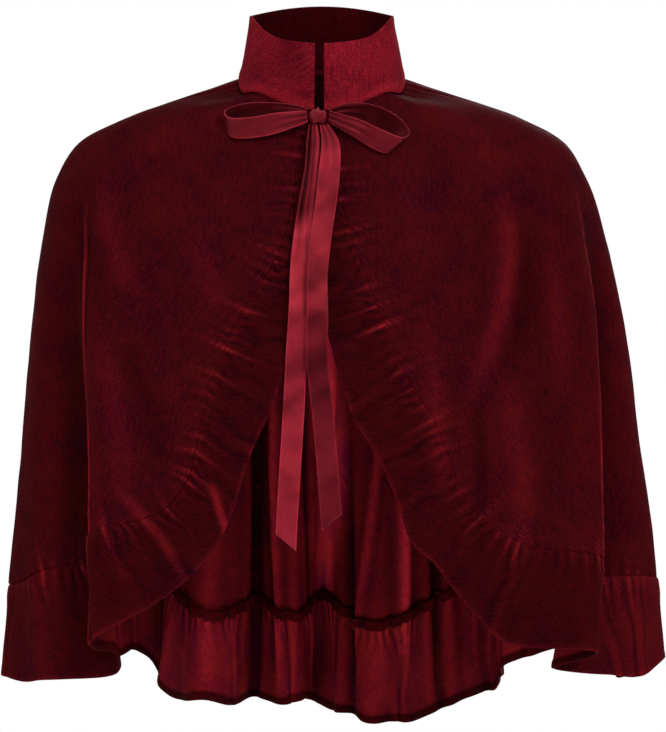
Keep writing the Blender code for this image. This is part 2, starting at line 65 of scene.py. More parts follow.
# The body's outline at each level: how far it reaches to the side, front and back, and its height there.
Section = namedtuple("Section", "drop side_x side_z front_y front_z back_y back_z corner shift_x")
SECTIONS = named(Section, [
    (0, 0.0745, 0.003, 0.064, -0.028, 0.06, 0.008, 0, -0.001),
    (0.1, 0.1275, -0.015, 0.08, -0.062, 0.084, -0.023, 0, -0.001),
    (0.2, 0.184, -0.0365, 0.094, -0.1, 0.101, -0.062, 0.01, -0.001),
    (0.28, 0.2235, -0.059, 0.103, -0.13, 0.111, -0.099, 0.02, -0.001),
    (0.35, 0.243, -0.092, 0.11, -0.155, 0.118, -0.134, 0.03, -0.001),
    (0.45, 0.2565, -0.145, 0.118, -0.192, 0.128, -0.19, 0.04, 0.001),
    (0.62, 0.2705, -0.242, 0.129, -0.252, 0.144, -0.29, 0.05, 0.0055),
    (0.82, 0.28, -0.355, 0.139, -0.32, 0.161, -0.408, 0.05, 0.008),
    (1, 0.2885, -0.458, 0.147, -0.38, 0.176, -0.516, 0.05, 0.01),
    (1.16, 0.2935, -0.549, 0.156, -0.452, 0.19, -0.611, 0.05, 0.011),
])

# The hanging folds. A fold stands out of the body (or in, where out is below 0) and leans round it.
Fold = namedtuple("Fold", "name top_angle hem_angle spread out slide start")
FOLDS = named(Fold, [
    ("left_front_crest", 68.3, 44.3, 7, 0.016, 0.016, 0.3),
    ("left_front_valley", 79, 57.4, 6.5, -0.036, -0.022, 0.3),
    ("left_side", 96, 80, 9, 0.01, 0, 0.4),
    ("left_side_valley", 108, 104, 7, -0.016, 0, 0.35),
    ("left_back", 122, 121, 7, 0.016, 0, 0.35),
    ("left_back_valley", 137, 140, 6, -0.024, 0.014, 0.32),
    ("back_far_left", 155, 155.5, 7, 0.034, -0.014, 0.3),
    ("back_near_left", 166, 170.5, 7.5, -0.042, 0.004, 0.28),
    ("back_middle", 171, 182, 3.4, 0.029, 0, 0.3),
    ("back_near_middle", 188.5, 188.5, 4, -0.028, 0, 0.32),
    ("back_slot", 193.5, 194.3, 3.2, 0.02, 0, 0.35),
    ("back_near_right", 202, 203.5, 7.5, -0.036, 0.014, 0.28),
    ("back_far_right", 215, 218, 6.5, 0.028, -0.016, 0.3),
    ("right_back_valley", 228, 229, 6, -0.022, 0, 0.32),
    ("right_back", 242, 243, 6, 0.015, 0, 0.35),
    ("right_side_valley", 256, 258, 6, -0.012, 0, 0.35),
    ("right_side", 270, 276, 8, 0.01, 0, 0.4),
    ("right_front_valley", 295.8, 307, 7, -0.034, 0.018, 0.3),
    ("right_front_crest", 308.4, 321.4, 7, 0.016, -0.016, 0.3),
])
FOLD_GROWTH = 1.3
FOLD_LIFT = 0.30
# Either side of the bow the neck seam lies lower than an even curve would.
NECK_CORNER_ANGLE = 74.0
NECK_CORNER_SPREAD = 19.0
NECK_CORNER_DIP = 0.013
NECK_CORNER_DROP = 0.09

# The sewn edge of each panel and the free edge of its ruffle, side by side: where each lies.
Edge = namedtuple("Edge", "seam_angle seam_drop edge_angle edge_drop")
LEFT_EDGE = named(Edge, [
    (8, 0, 1, 0.004),
    (6, 0.12, 0.5, 0.12),
    (5.5, 0.252, 0, 0.26),
    (8.5, 0.385, 0, 0.41),
    (10.5, 0.492, 0.3, 0.535),
    (14.5, 0.65, 3.5, 0.725),
    (19, 0.758, 8, 0.845),
    (21.3, 0.865, 11, 0.955),
    (23.5, 0.935, 13, 1.04),
    (26, 0.97, 17, 1.078),
    (28.5, 0.992, 20.5, 1.12),
    (31.5, 1.005, 24.5, 1.162),
    (36, 1.012, 29.5, 1.2),
    (44, 1.01, 43, 1.186),
    (51, 1.005, 53.5, 1.16),
    (58.5, 1, 60, 1.167),
    (66, 1, 65.5, 1.17),
    (78, 1, 78, 1.135),
    (90, 1, 90, 1.146),
])
RIGHT_EDGE = named(Edge, [
    (-10.5, 0, -4.5, 0.004),
    (-8.5, 0.12, -3.8, 0.12),
    (-7.5, 0.265, -3, 0.28),
    (-10, 0.375, -3.2, 0.395),
    (-14.5, 0.46, -5, 0.48),
    (-17.5, 0.532, -7, 0.565),
    (-21, 0.628, -10.2, 0.705),
    (-22.8, 0.71, -13.2, 0.795),
    (-24, 0.792, -15.5, 0.875),
    (-25.3, 0.868, -17.3, 0.965),
    (-28, 0.928, -19.8, 1.03),
    (-31, 0.955, -24, 1.08),
    (-35, 0.97, -28, 1.115),
    (-42, 0.974, -35, 1.168),
    (-49, 0.978, -41, 1.178),
    (-54.5, 0.982, -48, 1.152),
    (-57.5, 0.986, -50.8, 1.172),
    (-63, 0.993, -57, 1.18),
    (-69, 1, -66, 1.177),
    (-80, 1.01, -80, 1.165),
    (-90, 1.015, -90, 1.165),
])
BACK_EDGE = named(Edge, [
    (90, 1, 90, 1.146),
    (105, 1, 105, 1.16),
    (122, 0.98, 122, 1.115),
    (136, 0.965, 136, 1.106),
    (143, 0.975, 142.5, 1.118),
    (150, 0.99, 149.8, 1.16),
    (154.5, 0.996, 154.8, 1.197),
    (158.5, 1, 159.5, 1.196),
    (163.5, 1.004, 164.5, 1.192),
    (168, 1.005, 168.5, 1.163),
    (176, 1, 176, 1.157),
    (182, 0.995, 183.2, 1.19),
    (188, 1, 188, 1.142),
    (195, 1, 195, 1.174),
    (204, 1, 204, 1.135),
    (211, 0.995, 213.5, 1.187),
    (218, 0.98, 218.5, 1.146),
    (228, 0.965, 227, 1.116),
    (250, 0.975, 250, 1.13),
    (260, 1, 260, 1.155),
    (270, 1.015, 270, 1.165),
])
# The row at which each front's sewn edge turns from its side into its bottom.
LEFT_CORNER = 9
RIGHT_CORNER = 11
LEFT_SEAM = 90.0
RIGHT_SEAM = 270.0
SAMPLES_PER_ROW = 60

# The collar's outline: its share of the height, and how far each ring reaches to the side, front and back.
Ring = namedtuple("Ring", "share side_x front_y back_y")
COLLAR_RINGS = named(Ring, [
    (0, 0.075, 0.065, 0.061),
    (0.3, 0.0712, 0.062, 0.059),
    (0.7, 0.0675, 0.058, 0.0545),
    (1, 0.0645, 0.0555, 0.051),
])
COLLAR_HEIGHT = 0.060
COLLAR_SLIT = (-5.0, 1.7)
COLLAR_DIP = 0.09
COLLAR_SHIFT = -0.001
# Its top edge is this much lower between the front and the side.
COLLAR_TOP_DIP = 0.0055
COLLAR_TOP_DIP_ANGLE = 45
COLLAR_TOP_DIP_SPREAD = 24
COLLAR_COLUMNS = 200
COLLAR_ROWS = 30
COLLAR_ROUND = 0.38
COLLAR_REACH = 0.07
# Its rows tucked into the neck seam, as shares of its height.
COLLAR_TUCK = (-0.07, -0.04)
# A darker patch on the wearer's right of the collar: how dark, where and how wide.
PATCH_SHADE = 0.45
PATCH_ANGLE = -25
PATCH_SPREAD = 13

# The ribbon's stations: the middle of the ribbon, the way its width points, and its width there.
Station = namedtuple("Station", "x y z across_x across_y across_z width")
LOOP_RIGHT = named(Station, [
    (-0.0135, -0.0755, -0.031, 0.05, -0.3, 0.95, 0.01),
    (-0.026, -0.074, -0.0295, 0.05, -0.45, 0.9, 0.016),
    (-0.048, -0.0705, -0.0285, 0.02, -0.5, 0.85, 0.019),
    (-0.07, -0.067, -0.0295, 0, -0.5, 0.85, 0.019),
    (-0.085, -0.0675, -0.0355, -0.1, -0.45, 0.88, 0.019),
    (-0.08, -0.076, -0.0425, -0.12, -0.3, 0.94, 0.019),
    (-0.06, -0.0815, -0.042, -0.08, -0.22, 0.97, 0.019),
    (-0.039, -0.0835, -0.038, -0.1, -0.18, 0.97, 0.018),
    (-0.0135, -0.086, -0.0325, -0.12, -0.15, 0.97, 0.01),
])
LOOP_LEFT = named(Station, [
    (0.0055, -0.0755, -0.031, -0.05, -0.3, 0.95, 0.01),
    (0.022, -0.074, -0.028, 0.05, -0.45, 0.9, 0.016),
    (0.041, -0.0725, -0.0295, 0.15, -0.5, 0.85, 0.019),
    (0.06, -0.074, -0.038, 0.45, -0.45, 0.75, 0.019),
    (0.07, -0.0785, -0.05, 0.75, -0.35, 0.5, 0.019),
    (0.065, -0.086, -0.058, 0.65, -0.2, 0.7, 0.019),
    (0.05, -0.0875, -0.0535, 0.35, -0.15, 0.9, 0.019),
    (0.031, -0.087, -0.0435, 0.2, -0.15, 0.95, 0.017),
    (0.0055, -0.086, -0.0325, 0.1, -0.15, 0.97, 0.01),
])
TAIL_RIGHT = named(Station, [
    (-0.0085, -0.0815, -0.04, 0.95, 0.2, 0, 0.008),
    (-0.0085, -0.0875, -0.056, 0.85, 0.4, 0, 0.013),
    (-0.0098, -0.0965, -0.076, 0.8, 0.45, 0, 0.014),
    (-0.0135, -0.1065, -0.108, 0.97, 0.15, 0, 0.016),
    (-0.018, -0.12, -0.155, 0.99, -0.05, 0, 0.019),
    (-0.02, -0.1325, -0.2, 0.99, 0.05, 0, 0.019),
    (-0.0228, -0.135, -0.245, 0.99, 0.05, 0, 0.019),
    (-0.0255, -0.135, -0.295, 0.99, 0.05, 0, 0.019),
    (-0.029, -0.135, -0.35, 0.99, -0.03, 0, 0.019),
    (-0.0322, -0.135, -0.405, 0.99, -0.03, 0, 0.019),
])
TAIL_LEFT = named(Station, [
    (0.0015, -0.082, -0.04, 0.95, -0.2, 0, 0.008),
    (0.007, -0.092, -0.056, 0.97, -0.1, 0, 0.016),
    (0.006, -0.102, -0.08, 0.99, -0.05, 0.05, 0.019),
    (0.003, -0.112, -0.108, 0.99, 0.05, 0.05, 0.019),
    (-0.0035, -0.1265, -0.155, 0.96, 0.3, 0.03, 0.019),
    (-0.0045, -0.1385, -0.2, 0.97, 0.25, -0.02, 0.019),
    (-0.0045, -0.14, -0.245, 0.99, 0.1, -0.05, 0.019),
    (0, -0.138, -0.29, 0.99, 0, -0.08, 0.019),
    (0.0045, -0.136, -0.34, 0.99, 0.05, -0.06, 0.019),
    (0.008, -0.135, -0.387, 0.99, 0.05, -0.05, 0.019),
])
TAIL_SLANT = 0.0075
RIBBON_STEP = 0.0016
RIBBON_COLUMNS = 22
KNOT_CENTRE = (-0.004, -0.0815, -0.0325)
KNOT_SIZE = (0.0160, 0.0120, 0.0125)
KNOT_COLUMNS = 72
KNOT_ROWS = 41

# The creases, by panel: each runs through three places of the surface, over the panel and its ruffle.
# depth is how far it stands out (or in, below 0), and shine how bright its painted highlight is on the side
# that it stands out of.
Crease = namedtuple("Crease", "angle_1 drop_1 angle_2 drop_2 angle_3 drop_3 width depth shine")
CREASES = {
    "front_left": named(Crease, [
        (43.5, 0.28, 37, 0.46, 25, 0.7, 0.011, 0.0026, 0.7),
        (50, 0.4, 47, 0.55, 45, 0.7, 0.013, 0.0018, 0.25),
        (47, 0.34, 42, 0.5, 34, 0.64, 0.017, -0.0026, 0.2),
        (19.5, 0.52, 19, 0.74, 19.5, 0.96, 0.012, 0.0014, 0.45),
        (32, 0.62, 34.5, 0.84, 32, 1.06, 0.016, 0.0018, 0.5),
        (26.5, 0.7, 27, 0.84, 25, 1.02, 0.009, -0.0018, 0.2),
        (60, 0.04, 55, 0.15, 45, 0.28, 0.022, 0.0016, 0.2),
        (24, 0.12, 22, 0.25, 19, 0.4, 0.02, 0.0012, 0.15),
        (69, 0.34, 61.5, 0.5, 56, 0.66, 0.0021, 0.0009, 2.2),
        (57.3, 0.58, 49.8, 0.86, 42.3, 1.24, 0.0021, 0.0006, 3.2),
        (71, 0.42, 66, 0.7, 62, 1.2, 0.013, -0.002, 0.2),
        (78, 0.46, 77, 0.74, 76, 1.05, 0.016, 0.0016, 0.2),
    ]),
    "front_right": named(Crease, [
        (-59, 0.28, -47, 0.38, -37, 0.5, 0.014, 0.0022, 0.3),
        (-63, 0.34, -52, 0.44, -43, 0.57, 0.017, -0.002, 0.2),
        (-44, 0.56, -38.5, 0.74, -35, 0.94, 0.014, 0.0018, 0.35),
        (-39, 0.58, -33, 0.72, -30.5, 0.88, 0.012, -0.0014, 0.2),
        (-28, 0.3, -24, 0.4, -20, 0.5, 0.016, 0.0016, 0.25),
        (-50, 0.04, -55, 0.15, -54, 0.26, 0.022, 0.0014, 0.15),
        (-22, 0.88, -19.5, 0.98, -17.5, 1.05, 0.0045, 0.0012, 1.6),
        (-36, 0.9, -30, 1, -25, 1.1, 0.006, 0.0014, 0.8),
        (-58, 0.34, -52, 0.52, -48.5, 0.68, 0.0021, 0.0009, 1.8),
        (-49.3, 0.6, -43.3, 0.88, -38.8, 1.24, 0.0021, 0.0006, 2.8),
        (-64, 0.44, -60, 0.72, -58, 1.1, 0.014, -0.002, 0.2),
        (-76, 0.46, -76, 0.74, -78, 1.05, 0.016, 0.0016, 0.2),
    ]),
    "back": named(Crease, [
        (164.2, 0.56, 165.2, 0.86, 165.8, 1.08, 0.008, -0.006, 3),
        (160, 0.5, 161, 0.88, 161.8, 1.28, 0.007, 0.0075, 0.3),
        (168, 0.62, 171.4, 0.84, 175.2, 1.06, 0.0036, -0.0036, 1.3),
        (176.8, 0.42, 176.4, 0.84, 176, 1.26, 0.008, 0.007, 0.3),
        (179.8, 0.42, 180.4, 0.76, 181, 1.12, 0.015, -0.004, 8),
        (185.4, 0.42, 185.2, 0.84, 185, 1.26, 0.0036, 0.005, 0.3),
        (191.4, 0.42, 191.2, 0.78, 190.8, 1.14, 0.006, -0.005, 1.7),
        (194.6, 0.42, 194.4, 0.84, 194.2, 1.26, 0.006, 0.007, 0.3),
        (201, 0.4, 202.5, 0.72, 204, 1.14, 0.012, -0.003, 0.15),
        (213, 0.42, 215, 0.84, 217, 1.26, 0.008, 0.004, 0.4),
        (154, 0.6, 152, 0.84, 150, 1.16, 0.01, -0.003, 0.5),
        (146, 0.4, 145, 0.72, 144, 1.12, 0.008, 0.0036, 0.4),
        (128, 0.36, 129, 0.68, 130, 1.08, 0.009, -0.003, 0.4),
        (114, 0.38, 115, 0.66, 114, 1.06, 0.01, 0.003, 0.4),
        (236, 0.4, 236, 0.7, 235, 1.08, 0.009, -0.003, 0.4),
        (249, 0.4, 248, 0.7, 249, 1.1, 0.01, 0.003, 0.4),
        (220, 0.38, 222, 0.7, 223, 1.08, 0.008, 0.0036, 0.4),
        (120, 0.06, 128, 0.18, 134, 0.34, 0.022, 0.0018, 0.2),
        (238, 0.06, 231, 0.2, 226, 0.36, 0.022, 0.0016, 0.2),
        (174, 0.08, 176, 0.22, 178, 0.38, 0.018, -0.0014, 0.2),
    ]),
}
# A crease's profile, counted in its own widths: its shine, the shade inside it, the hollow beside it.
CREASE_STEPS = 61
SHINE_WIDTH = 0.8
SHADE_WIDTH = 1.4
HOLLOW_AWAY = 2.0
HOLLOW_WIDTH = 1.2
HOLLOW_SHARE = 0.35
# How much light a crease as deep as this or deeper loses, on the outer and on the inner face.
FULL_SHADE_DEPTH = 0.005
OUTER_SHADE = 0.45
INNER_SHADE = 0.92

# The cloth's soft unevenness: how high its lumps stand and how far across they are.
Lump = namedtuple("Lump", "height size")
PANEL_SWELL = Lump(0.0009, 0.060)
PANEL_RIPPLE = Lump(0.00012, 0.016)
RUFFLE_RIPPLE = Lump(0.0003, 0.022)
COLLAR_RIPPLE = Lump(0.0007, 0.022)

# The pitch of the fine gathers at a seam and of the broader folds that run on from them, how far their
# places wander, and how long the stretches are that are drawn up tightly.
GATHER_PITCH = 0.0100
PUCKER_PITCH = 0.0240
PITCH_WANDER = 0.30
CLUSTER_SIZES = (0.105, 0.062, 0.039)

# The puckers in a panel beside its seams: their height, their pitch and how soon they fade.
Pucker = namedtuple("Pucker", "height pitch reach")
SHORT_PUCKER = Pucker(0.0007, GATHER_PITCH, 0.009)
LONG_PUCKER = Pucker(0.0008, PUCKER_PITCH, 0.018)
NECK_PUCKER = Pucker(0.0010, 0.013, 0.016)
# Metres round the neck seam to one degree.
NECK_ARC = 0.0011

# The grooves that the thread pulls along the seams.
Groove = namedtuple("Groove", "depth width")
RUFFLE_GROOVE = Groove(0.0003, 0.0030)
NECK_GROOVE = Groove(0.0010, 0.0035)
SIDE_GROOVE = Groove(0.0008, 0.0030)

# How bright the pile is drawn, 1 being as its material is. The back's inside lies in the shade of the
# fronts, and the photo shows it brighter than an even pile would be there, so insides get painted light.
PANEL_TONE = 0.92
# Painted shade on the wearer's right side, round behind the front crest.
PAINTED_SIDE_SHADE = -0.12
INSIDE_PAINTED_LIGHT = 2.35
# Painted shade on the collar's inside.
COLLAR_INSIDE_PAINTED_SHADE = 0.24
RUFFLE_TONE = 0.68
# Painted light on the ruffle round the sides, past its front crest, on the wearer's left and right.
RUFFLE_LEFT_SIDE_LIGHT = 0.75
RUFFLE_RIGHT_SIDE_LIGHT = 0.30
TURNED_HEM_SHADE = 0.72
KNOT_TONE = 0.8
# A painted highlight along the hem where it rolls over: how bright and over what width.
ROLLED_HEM_HIGHLIGHT = 1.2
ROLLED_HEM_WIDTH = 0.0014
# Painted highlights along the crests of the gathers: how bright they are and how far from the seam they
# fade.
Streaks = namedtuple("Streaks", "tone reach")
PANEL_GATHER_HIGHLIGHTS = Streaks(2.6, 0.012)
RUFFLE_GATHER_HIGHLIGHTS = Streaks(2.8, 0.016)
# Between which angles from the centre front a panel and a ruffle turn round their front crest.
PANEL_TURN = (50.0, 58.0)
RUFFLE_TURN = (52.0, 64.0)
# How unevenly the inside of a ruffle catches light below its seam, and over what lengths.
PUFF_TONE = 0.45
PUFF_SIZES = (0.041, 0.067, 0.026)


def hermite(low, high, low_slope, high_slope, t):
    """A smooth curve from low to high that leaves and ends with these slopes, read at t from 0 to 1."""
    return (
        low * (2 * t**3 - 3 * t**2 + 1)
        + low_slope * (t**3 - 2 * t**2 + t)
        + high * (3 * t**2 - 2 * t**3)
        + high_slope * (t**3 - t**2)
    )


def hump(value, width):
    """A round hump: 1 where value is 0 and nearly gone two widths to either side."""
    return np.exp(-((value / width) ** 2))


def from_front(angle):
    """An angle round the body as -180 to 180, counted from the centre front."""
    return (angle + 180) % 360 - 180


def along(rows, name, at):
    """A smooth curve through one named column of a table, read at these values of its first column."""
    knots = np.array([row[0] for row in rows], float)
    values = np.array([getattr(row, name) for row in rows], float)
    slopes = np.gradient(values, knots)
    at = np.asarray(at, float)
    i = np.clip(np.searchsorted(knots, at) - 1, 0, len(knots) - 2)
    step = knots[i + 1] - knots[i]
    t = (at - knots[i]) / step
    return hermite(values[i], values[i + 1], slopes[i] * step, slopes[i + 1] * step, t)


def neck_dip(angle):
    """How much lower the neck seam lies here than an even curve would."""
    return NECK_CORNER_DIP * hump(np.abs(from_front(angle)) - NECK_CORNER_ANGLE, NECK_CORNER_SPREAD)


def cape_point(angle, drop):
    """Points of the cape's surface, as an array of x, y, z."""
    angle, drop = np.broadcast_arrays(np.asarray(angle, float), np.asarray(drop, float))
    turn = np.radians(angle)
    side, front = np.sin(turn), np.cos(turn)
    facing = front > 0
    depth = np.where(facing, along(SECTIONS, "front_y", drop), along(SECTIONS, "back_y", drop))
    end_z = np.where(facing, along(SECTIONS, "front_z", drop), along(SECTIONS, "back_z", drop))
    reach = along(SECTIONS, "side_x", drop)
    square = 1 + along(SECTIONS, "corner", drop) * np.sin(2 * turn) ** 2
    x = along(SECTIONS, "shift_x", drop) + reach * side * square
    y = -depth * front * square
    z = along(SECTIONS, "side_z", drop) * side**2 + end_z * front**2
    z = z - neck_dip(angle) * hump(drop, NECK_CORNER_DROP)
    out = np.stack([side * depth, -front * reach], axis=-1)
    out /= np.linalg.norm(out, axis=-1, keepdims=True)
    height, slide = np.zeros_like(x), np.zeros_like(x)
    for fold in FOLDS:
        centre = fold.top_angle + (fold.hem_angle - fold.top_angle) * drop
        away = from_front(angle - centre)
        grown = np.clip((drop - fold.start) / (1 - fold.start), 0, None) ** FOLD_GROWTH
        shape = grown * hump(away, fold.spread)
        height += fold.out * shape
        slide += fold.slide * shape
    x = x + out[..., 0] * height - out[..., 1] * slide
    y = y + out[..., 1] * height + out[..., 0] * slide
    z = z + FOLD_LIFT * height
    return np.stack([x, y, z], axis=-1)


def unit(vectors):
    return vectors / np.linalg.norm(vectors, axis=-1, keepdims=True)


def cape_normal(angle, drop, turn=0.05, fall=0.0005):
    """The way out of the cape at these points, square to the cloth and one long."""
    across = cape_point(angle + turn, drop) - cape_point(angle - turn, drop)
    down = cape_point(angle, drop + fall) - cape_point(angle, drop - fall)
    return unit(np.cross(down, across))


def through(values, at):
    """A smooth curve through a list of values, read at these places, counted in values from 0."""
    values = np.asarray(values, float)
    slopes = np.gradient(values, axis=0)
    at = np.asarray(at, float)
    i = np.clip(at.astype(int), 0, len(values) - 2)
    t = at - i
    if values.ndim == 2:
        t = t[:, None]
    return hermite(values[i], values[i + 1], slopes[i], slopes[i + 1], t)


def lengths(points):
    """How far along a line of points each one is."""
    steps = np.linalg.norm(np.diff(points, axis=0), axis=1)
    return np.concatenate([[0.0], np.cumsum(steps)])


def read_edge(edge, places, line="seam"):
    """Angles and drops of the sewn or the free edge at these places, counted in rows of its table."""
    angles = through([getattr(row, line + "_angle") for row in edge], places)
    drops = through([getattr(row, line + "_drop") for row in edge], places)
    return np.stack([angles, drops], axis=1)


def half_gap(depth_name, drop):
    """Half of a side seam's gap, in degrees round the body."""
    return np.degrees(SEAM_GAP / 2 / along(SECTIONS, depth_name, drop))


def ease(value, start=0.0, end=1.0):
    """Rises smoothly from 0 at start to 1 at end."""
    t = np.clip((np.asarray(value, float) - start) / (end - start), 0, 1)
    return t * t * (3 - 2 * t)


# How far from a rim the rows of points lie that round it over.
RIM_STEPS = (0.0, 0.0002, 0.0006, 0.0012, 0.0020, 0.0032)


def crowd(count, length):
    """Shares from 0 to 1 of a length, even but for closer ones at both ends, where a wall rounds over."""
    ends = np.array(RIM_STEPS) / length
    middle = np.linspace(ends[-1], 1 - ends[-1], count)[1:-1]
    return np.concatenate([ends, middle, 1 - ends[::-1]])


def unevenness(points, size, seed):
    """A smooth uneven value from about -1 to 1 at each point, whose lumps are about size across."""
    draw = np.random.default_rng(seed)
    value = np.zeros(points.shape[:-1])
    waves = 7
    for _ in range(waves):
        way = unit(draw.normal(size=3))
        pitch = size * draw.uniform(1.5, 3.0)
        value += np.sin(points @ way * (2 * math.pi / pitch) + draw.uniform(0, 2 * math.pi))
    return value / math.sqrt(waves)


def wander(place, sizes, seed):
    """A smooth uneven value from about -1 to 1 along a line, from waves of these lengths."""
    draw = np.random.default_rng(seed)
    waves = [np.sin(2 * math.pi * place / size + draw.uniform(0, 2 * math.pi)) for size in sizes]
    return sum(waves) / len(sizes)


def gather_count(place, pitch, seed):
    """How many gathers of this uneven pitch lie before each place along a line."""
    return place / pitch + PITCH_WANDER * wander(place, (6.7 * pitch, 4.1 * pitch), seed)


def plump(place, pitch, seed):
    """Round crests and sharp valleys along a line, one to each uneven pitch, from about 0 to 1."""
    valley_width = 0.03
    return np.sqrt(np.sin(math.pi * gather_count(place, pitch, seed)) ** 2 + valley_width) - 0.15


def set_value(mesh, name, values):
    """Keeps one number for each point of a mesh, which its material reads."""
    mesh.attributes.new(name, "FLOAT", "POINT").data.foreach_set("value", values)


def link(name, data):
    """A new object in the scene for this mesh, camera or light."""
    thing = bpy.data.objects.new(name, data)
    bpy.context.scene.collection.objects.link(thing)
    return thing


def add_piece(name, mesh, material):
    mesh.shade_smooth()
    mesh.materials.append(material)
    return link(name, mesh)


def cloth_mesh(name, outer, inner, uv, crest, tone, material):
    """A closed wall between two grids of points, with the map of its cut, its crests and its tones."""
    rows, columns = outer.shape[:2]
    number = np.arange(rows * columns).reshape(rows, columns)
    a, b, c, d = number[:-1, :-1], number[1:, :-1], number[1:, 1:], number[:-1, 1:]
    front = np.stack([a, b, c, d], axis=-1).reshape(-1, 4)
    middle = outer[rows // 2, columns // 2]
    across = outer[rows // 2, columns // 2 + 1] - middle
    down = outer[rows // 2 + 1, columns // 2] - middle
    if np.dot(np.cross(down, across), middle - inner[rows // 2, columns // 2]) < 0:
        front = front[:, ::-1]
    back = front[:, ::-1] + rows * columns
    rim = np.concatenate([number[0, :], number[1:, -1], number[-1, -2::-1], number[-2:0:-1, 0]])
    on = np.roll(rim, -1)
    strip = np.stack([rim, on, on + rows * columns, rim + rows * columns], axis=-1)
    edge_cells = {tuple(pair) for pair in np.stack([front[0], np.roll(front[0], -1)], axis=-1).tolist()}
    if (int(rim[0]), int(rim[1])) in edge_cells:
        strip = strip[:, ::-1]
    quads = np.concatenate([front, back, strip])
    points = np.concatenate([outer.reshape(-1, 3), inner.reshape(-1, 3)])
    mesh = bpy.data.meshes.new(name)
    mesh.vertices.add(len(points))
    mesh.vertices.foreach_set("co", points.ravel())
    mesh.loops.add(quads.size)
    mesh.loops.foreach_set("vertex_index", quads.ravel())
    mesh.polygons.add(len(quads))
    mesh.polygons.foreach_set("loop_start", np.arange(0, quads.size, 4))
    mesh.update(calc_edges=True)
    layer = mesh.uv_layers.new(name="cut")
    flat = np.concatenate([uv.reshape(-1, 2), uv.reshape(-1, 2)])
    layer.data.foreach_set("uv", flat[quads.ravel()].ravel())
    tones = [np.broadcast_to(face, crest.shape).ravel() for face in tone]
    set_value(mesh, "crest", np.concatenate([crest.ravel(), -crest.ravel()]))
    set_value(mesh, "tone", np.concatenate(tones))
    return add_piece(name, mesh, material)


def grid_lengths(points):
    """How far each point of a grid is from its first row and from its first column, along the grid."""
    down = np.zeros(points.shape[:2])
    down[1:] = np.cumsum(np.linalg.norm(np.diff(points, axis=0), axis=2), axis=0)
    across = np.zeros(points.shape[:2])
    across[:, 1:] = np.cumsum(np.linalg.norm(np.diff(points, axis=1), axis=2), axis=1)
    return down, across


# Over what distance a bend counts as a crest, and the bend, in 1/m, of a sharp one.
CREST_REACH = 0.0045
SHARP_BEND = 170


def crests(points, out, down, across):
    """How sharply the cloth bends outwards at each point: near 1 on a crest and near -1 in a valley."""
    bend = np.zeros(points.shape[:2])
    for axis, walked in ((0, down), (1, across)):
        size = points.shape[axis]
        step = max(1, round(CREST_REACH / max(1e-6, np.median(np.abs(np.diff(walked, axis=axis))))))
        low = np.take(points, np.clip(np.arange(size) - step, 0, size - 1), axis=axis)
        high = np.take(points, np.clip(np.arange(size) + step, 0, size - 1), axis=axis)
        reach = (np.linalg.norm(points - low, axis=2) + np.linalg.norm(high - points, axis=2)) / 2
        rise = np.sum((points - (low + high) / 2) * out, axis=2)
        bend += 2 * rise / np.maximum(reach, CREST_REACH * 0.7) ** 2
    return np.tanh(bend / SHARP_BEND)


def cloth(name, base, out, height, half_out, half_in, material, tone=(1.0, 1.0)):
    """A thin closed shell of cloth: base moved out by height, with the wall rounded over at its rims.

    tone is how bright the pile is on its outer and on its inner face, 1 being as the material is.
    """
    middle = base + out * height[..., None]
    facing = unit(np.cross(np.gradient(middle, axis=0), np.gradient(middle, axis=1)))
    facing *= np.sign(np.sum(facing * out, axis=2, keepdims=True))
    down, across = grid_lengths(middle)
    rim = np.min([down, down[-1:] - down, across, across[:, -1:] - across], axis=0)
    half_out, half_in = np.broadcast_arrays(half_out, half_in)
    share = np.clip(rim / ((half_out + half_in) / 2), 0, 1)
    least = 0.10
    fullness = np.clip(np.sqrt(1 - (1 - share) ** 2), least, 1)[..., None]
    outer = middle + facing * half_out[..., None] * fullness
    inner = middle - facing * half_in[..., None] * fullness
    crest = crests(middle, facing, down, across)
    uv = np.stack([across, down], axis=-1)
    return cloth_mesh(name, outer, inner, uv, crest, tone, material)


def crease_relief(panel, points):
    """How far the creases stand out at each point, and their painted highlight and shade on each face."""
    height = np.zeros(points.shape[:2])
    shine_out, shine_in = np.zeros_like(height), np.zeros_like(height)
    steps = np.linspace(0, 2, CREASE_STEPS)
    for crease in CREASES[panel]:
        angles = through([crease.angle_1, crease.angle_2, crease.angle_3], steps)
        drops = through([crease.drop_1, crease.drop_2, crease.drop_3], steps)
        line = cape_point(angles, drops)
        away, near = nearest(points, line)
        side = unit(np.cross(np.gradient(line, axis=0), cape_normal(angles, drops)))
        offset = np.sum((points - line[near]) * side[near], axis=2)
        past_end = np.clip(away - np.abs(offset), 0, None)
        fade = np.sin(math.pi * np.clip(near / (CREASE_STEPS - 1), 0.01, 0.99)) ** 0.7
        fade = fade * hump(past_end, crease.width)
        ridge = fade * hump(offset, crease.width)
        hollow = fade * hump(np.abs(offset) - HOLLOW_AWAY * crease.width, HOLLOW_WIDTH * crease.width)
        height += crease.depth * (ridge - HOLLOW_SHARE * hollow)
        bright = crease.shine * fade * hump(offset, SHINE_WIDTH * crease.width)
        deep = min(1, abs(crease.depth) / FULL_SHADE_DEPTH)
        if crease.depth > 0:
            shine_out += bright
            shine_in -= INNER_SHADE * deep * fade * hump(offset, SHADE_WIDTH * crease.width)
        else:
            shine_out -= OUTER_SHADE * deep * ridge
            shine_in += bright
    return height, shine_out, shine_in


def gather_highlight_lines(place, pitch, seed):
    """Thin separate lines of painted highlight along the gathers' crests, some of them brighter, from 0 to
    1.
    """
    thinness = 18
    strength = np.clip(0.45 + 0.9 * wander(place, (3.1 * pitch, 1.9 * pitch), seed + 5), 0, 1)
    return strength * np.abs(np.sin(math.pi * gather_count(place, pitch, seed))) ** thinness


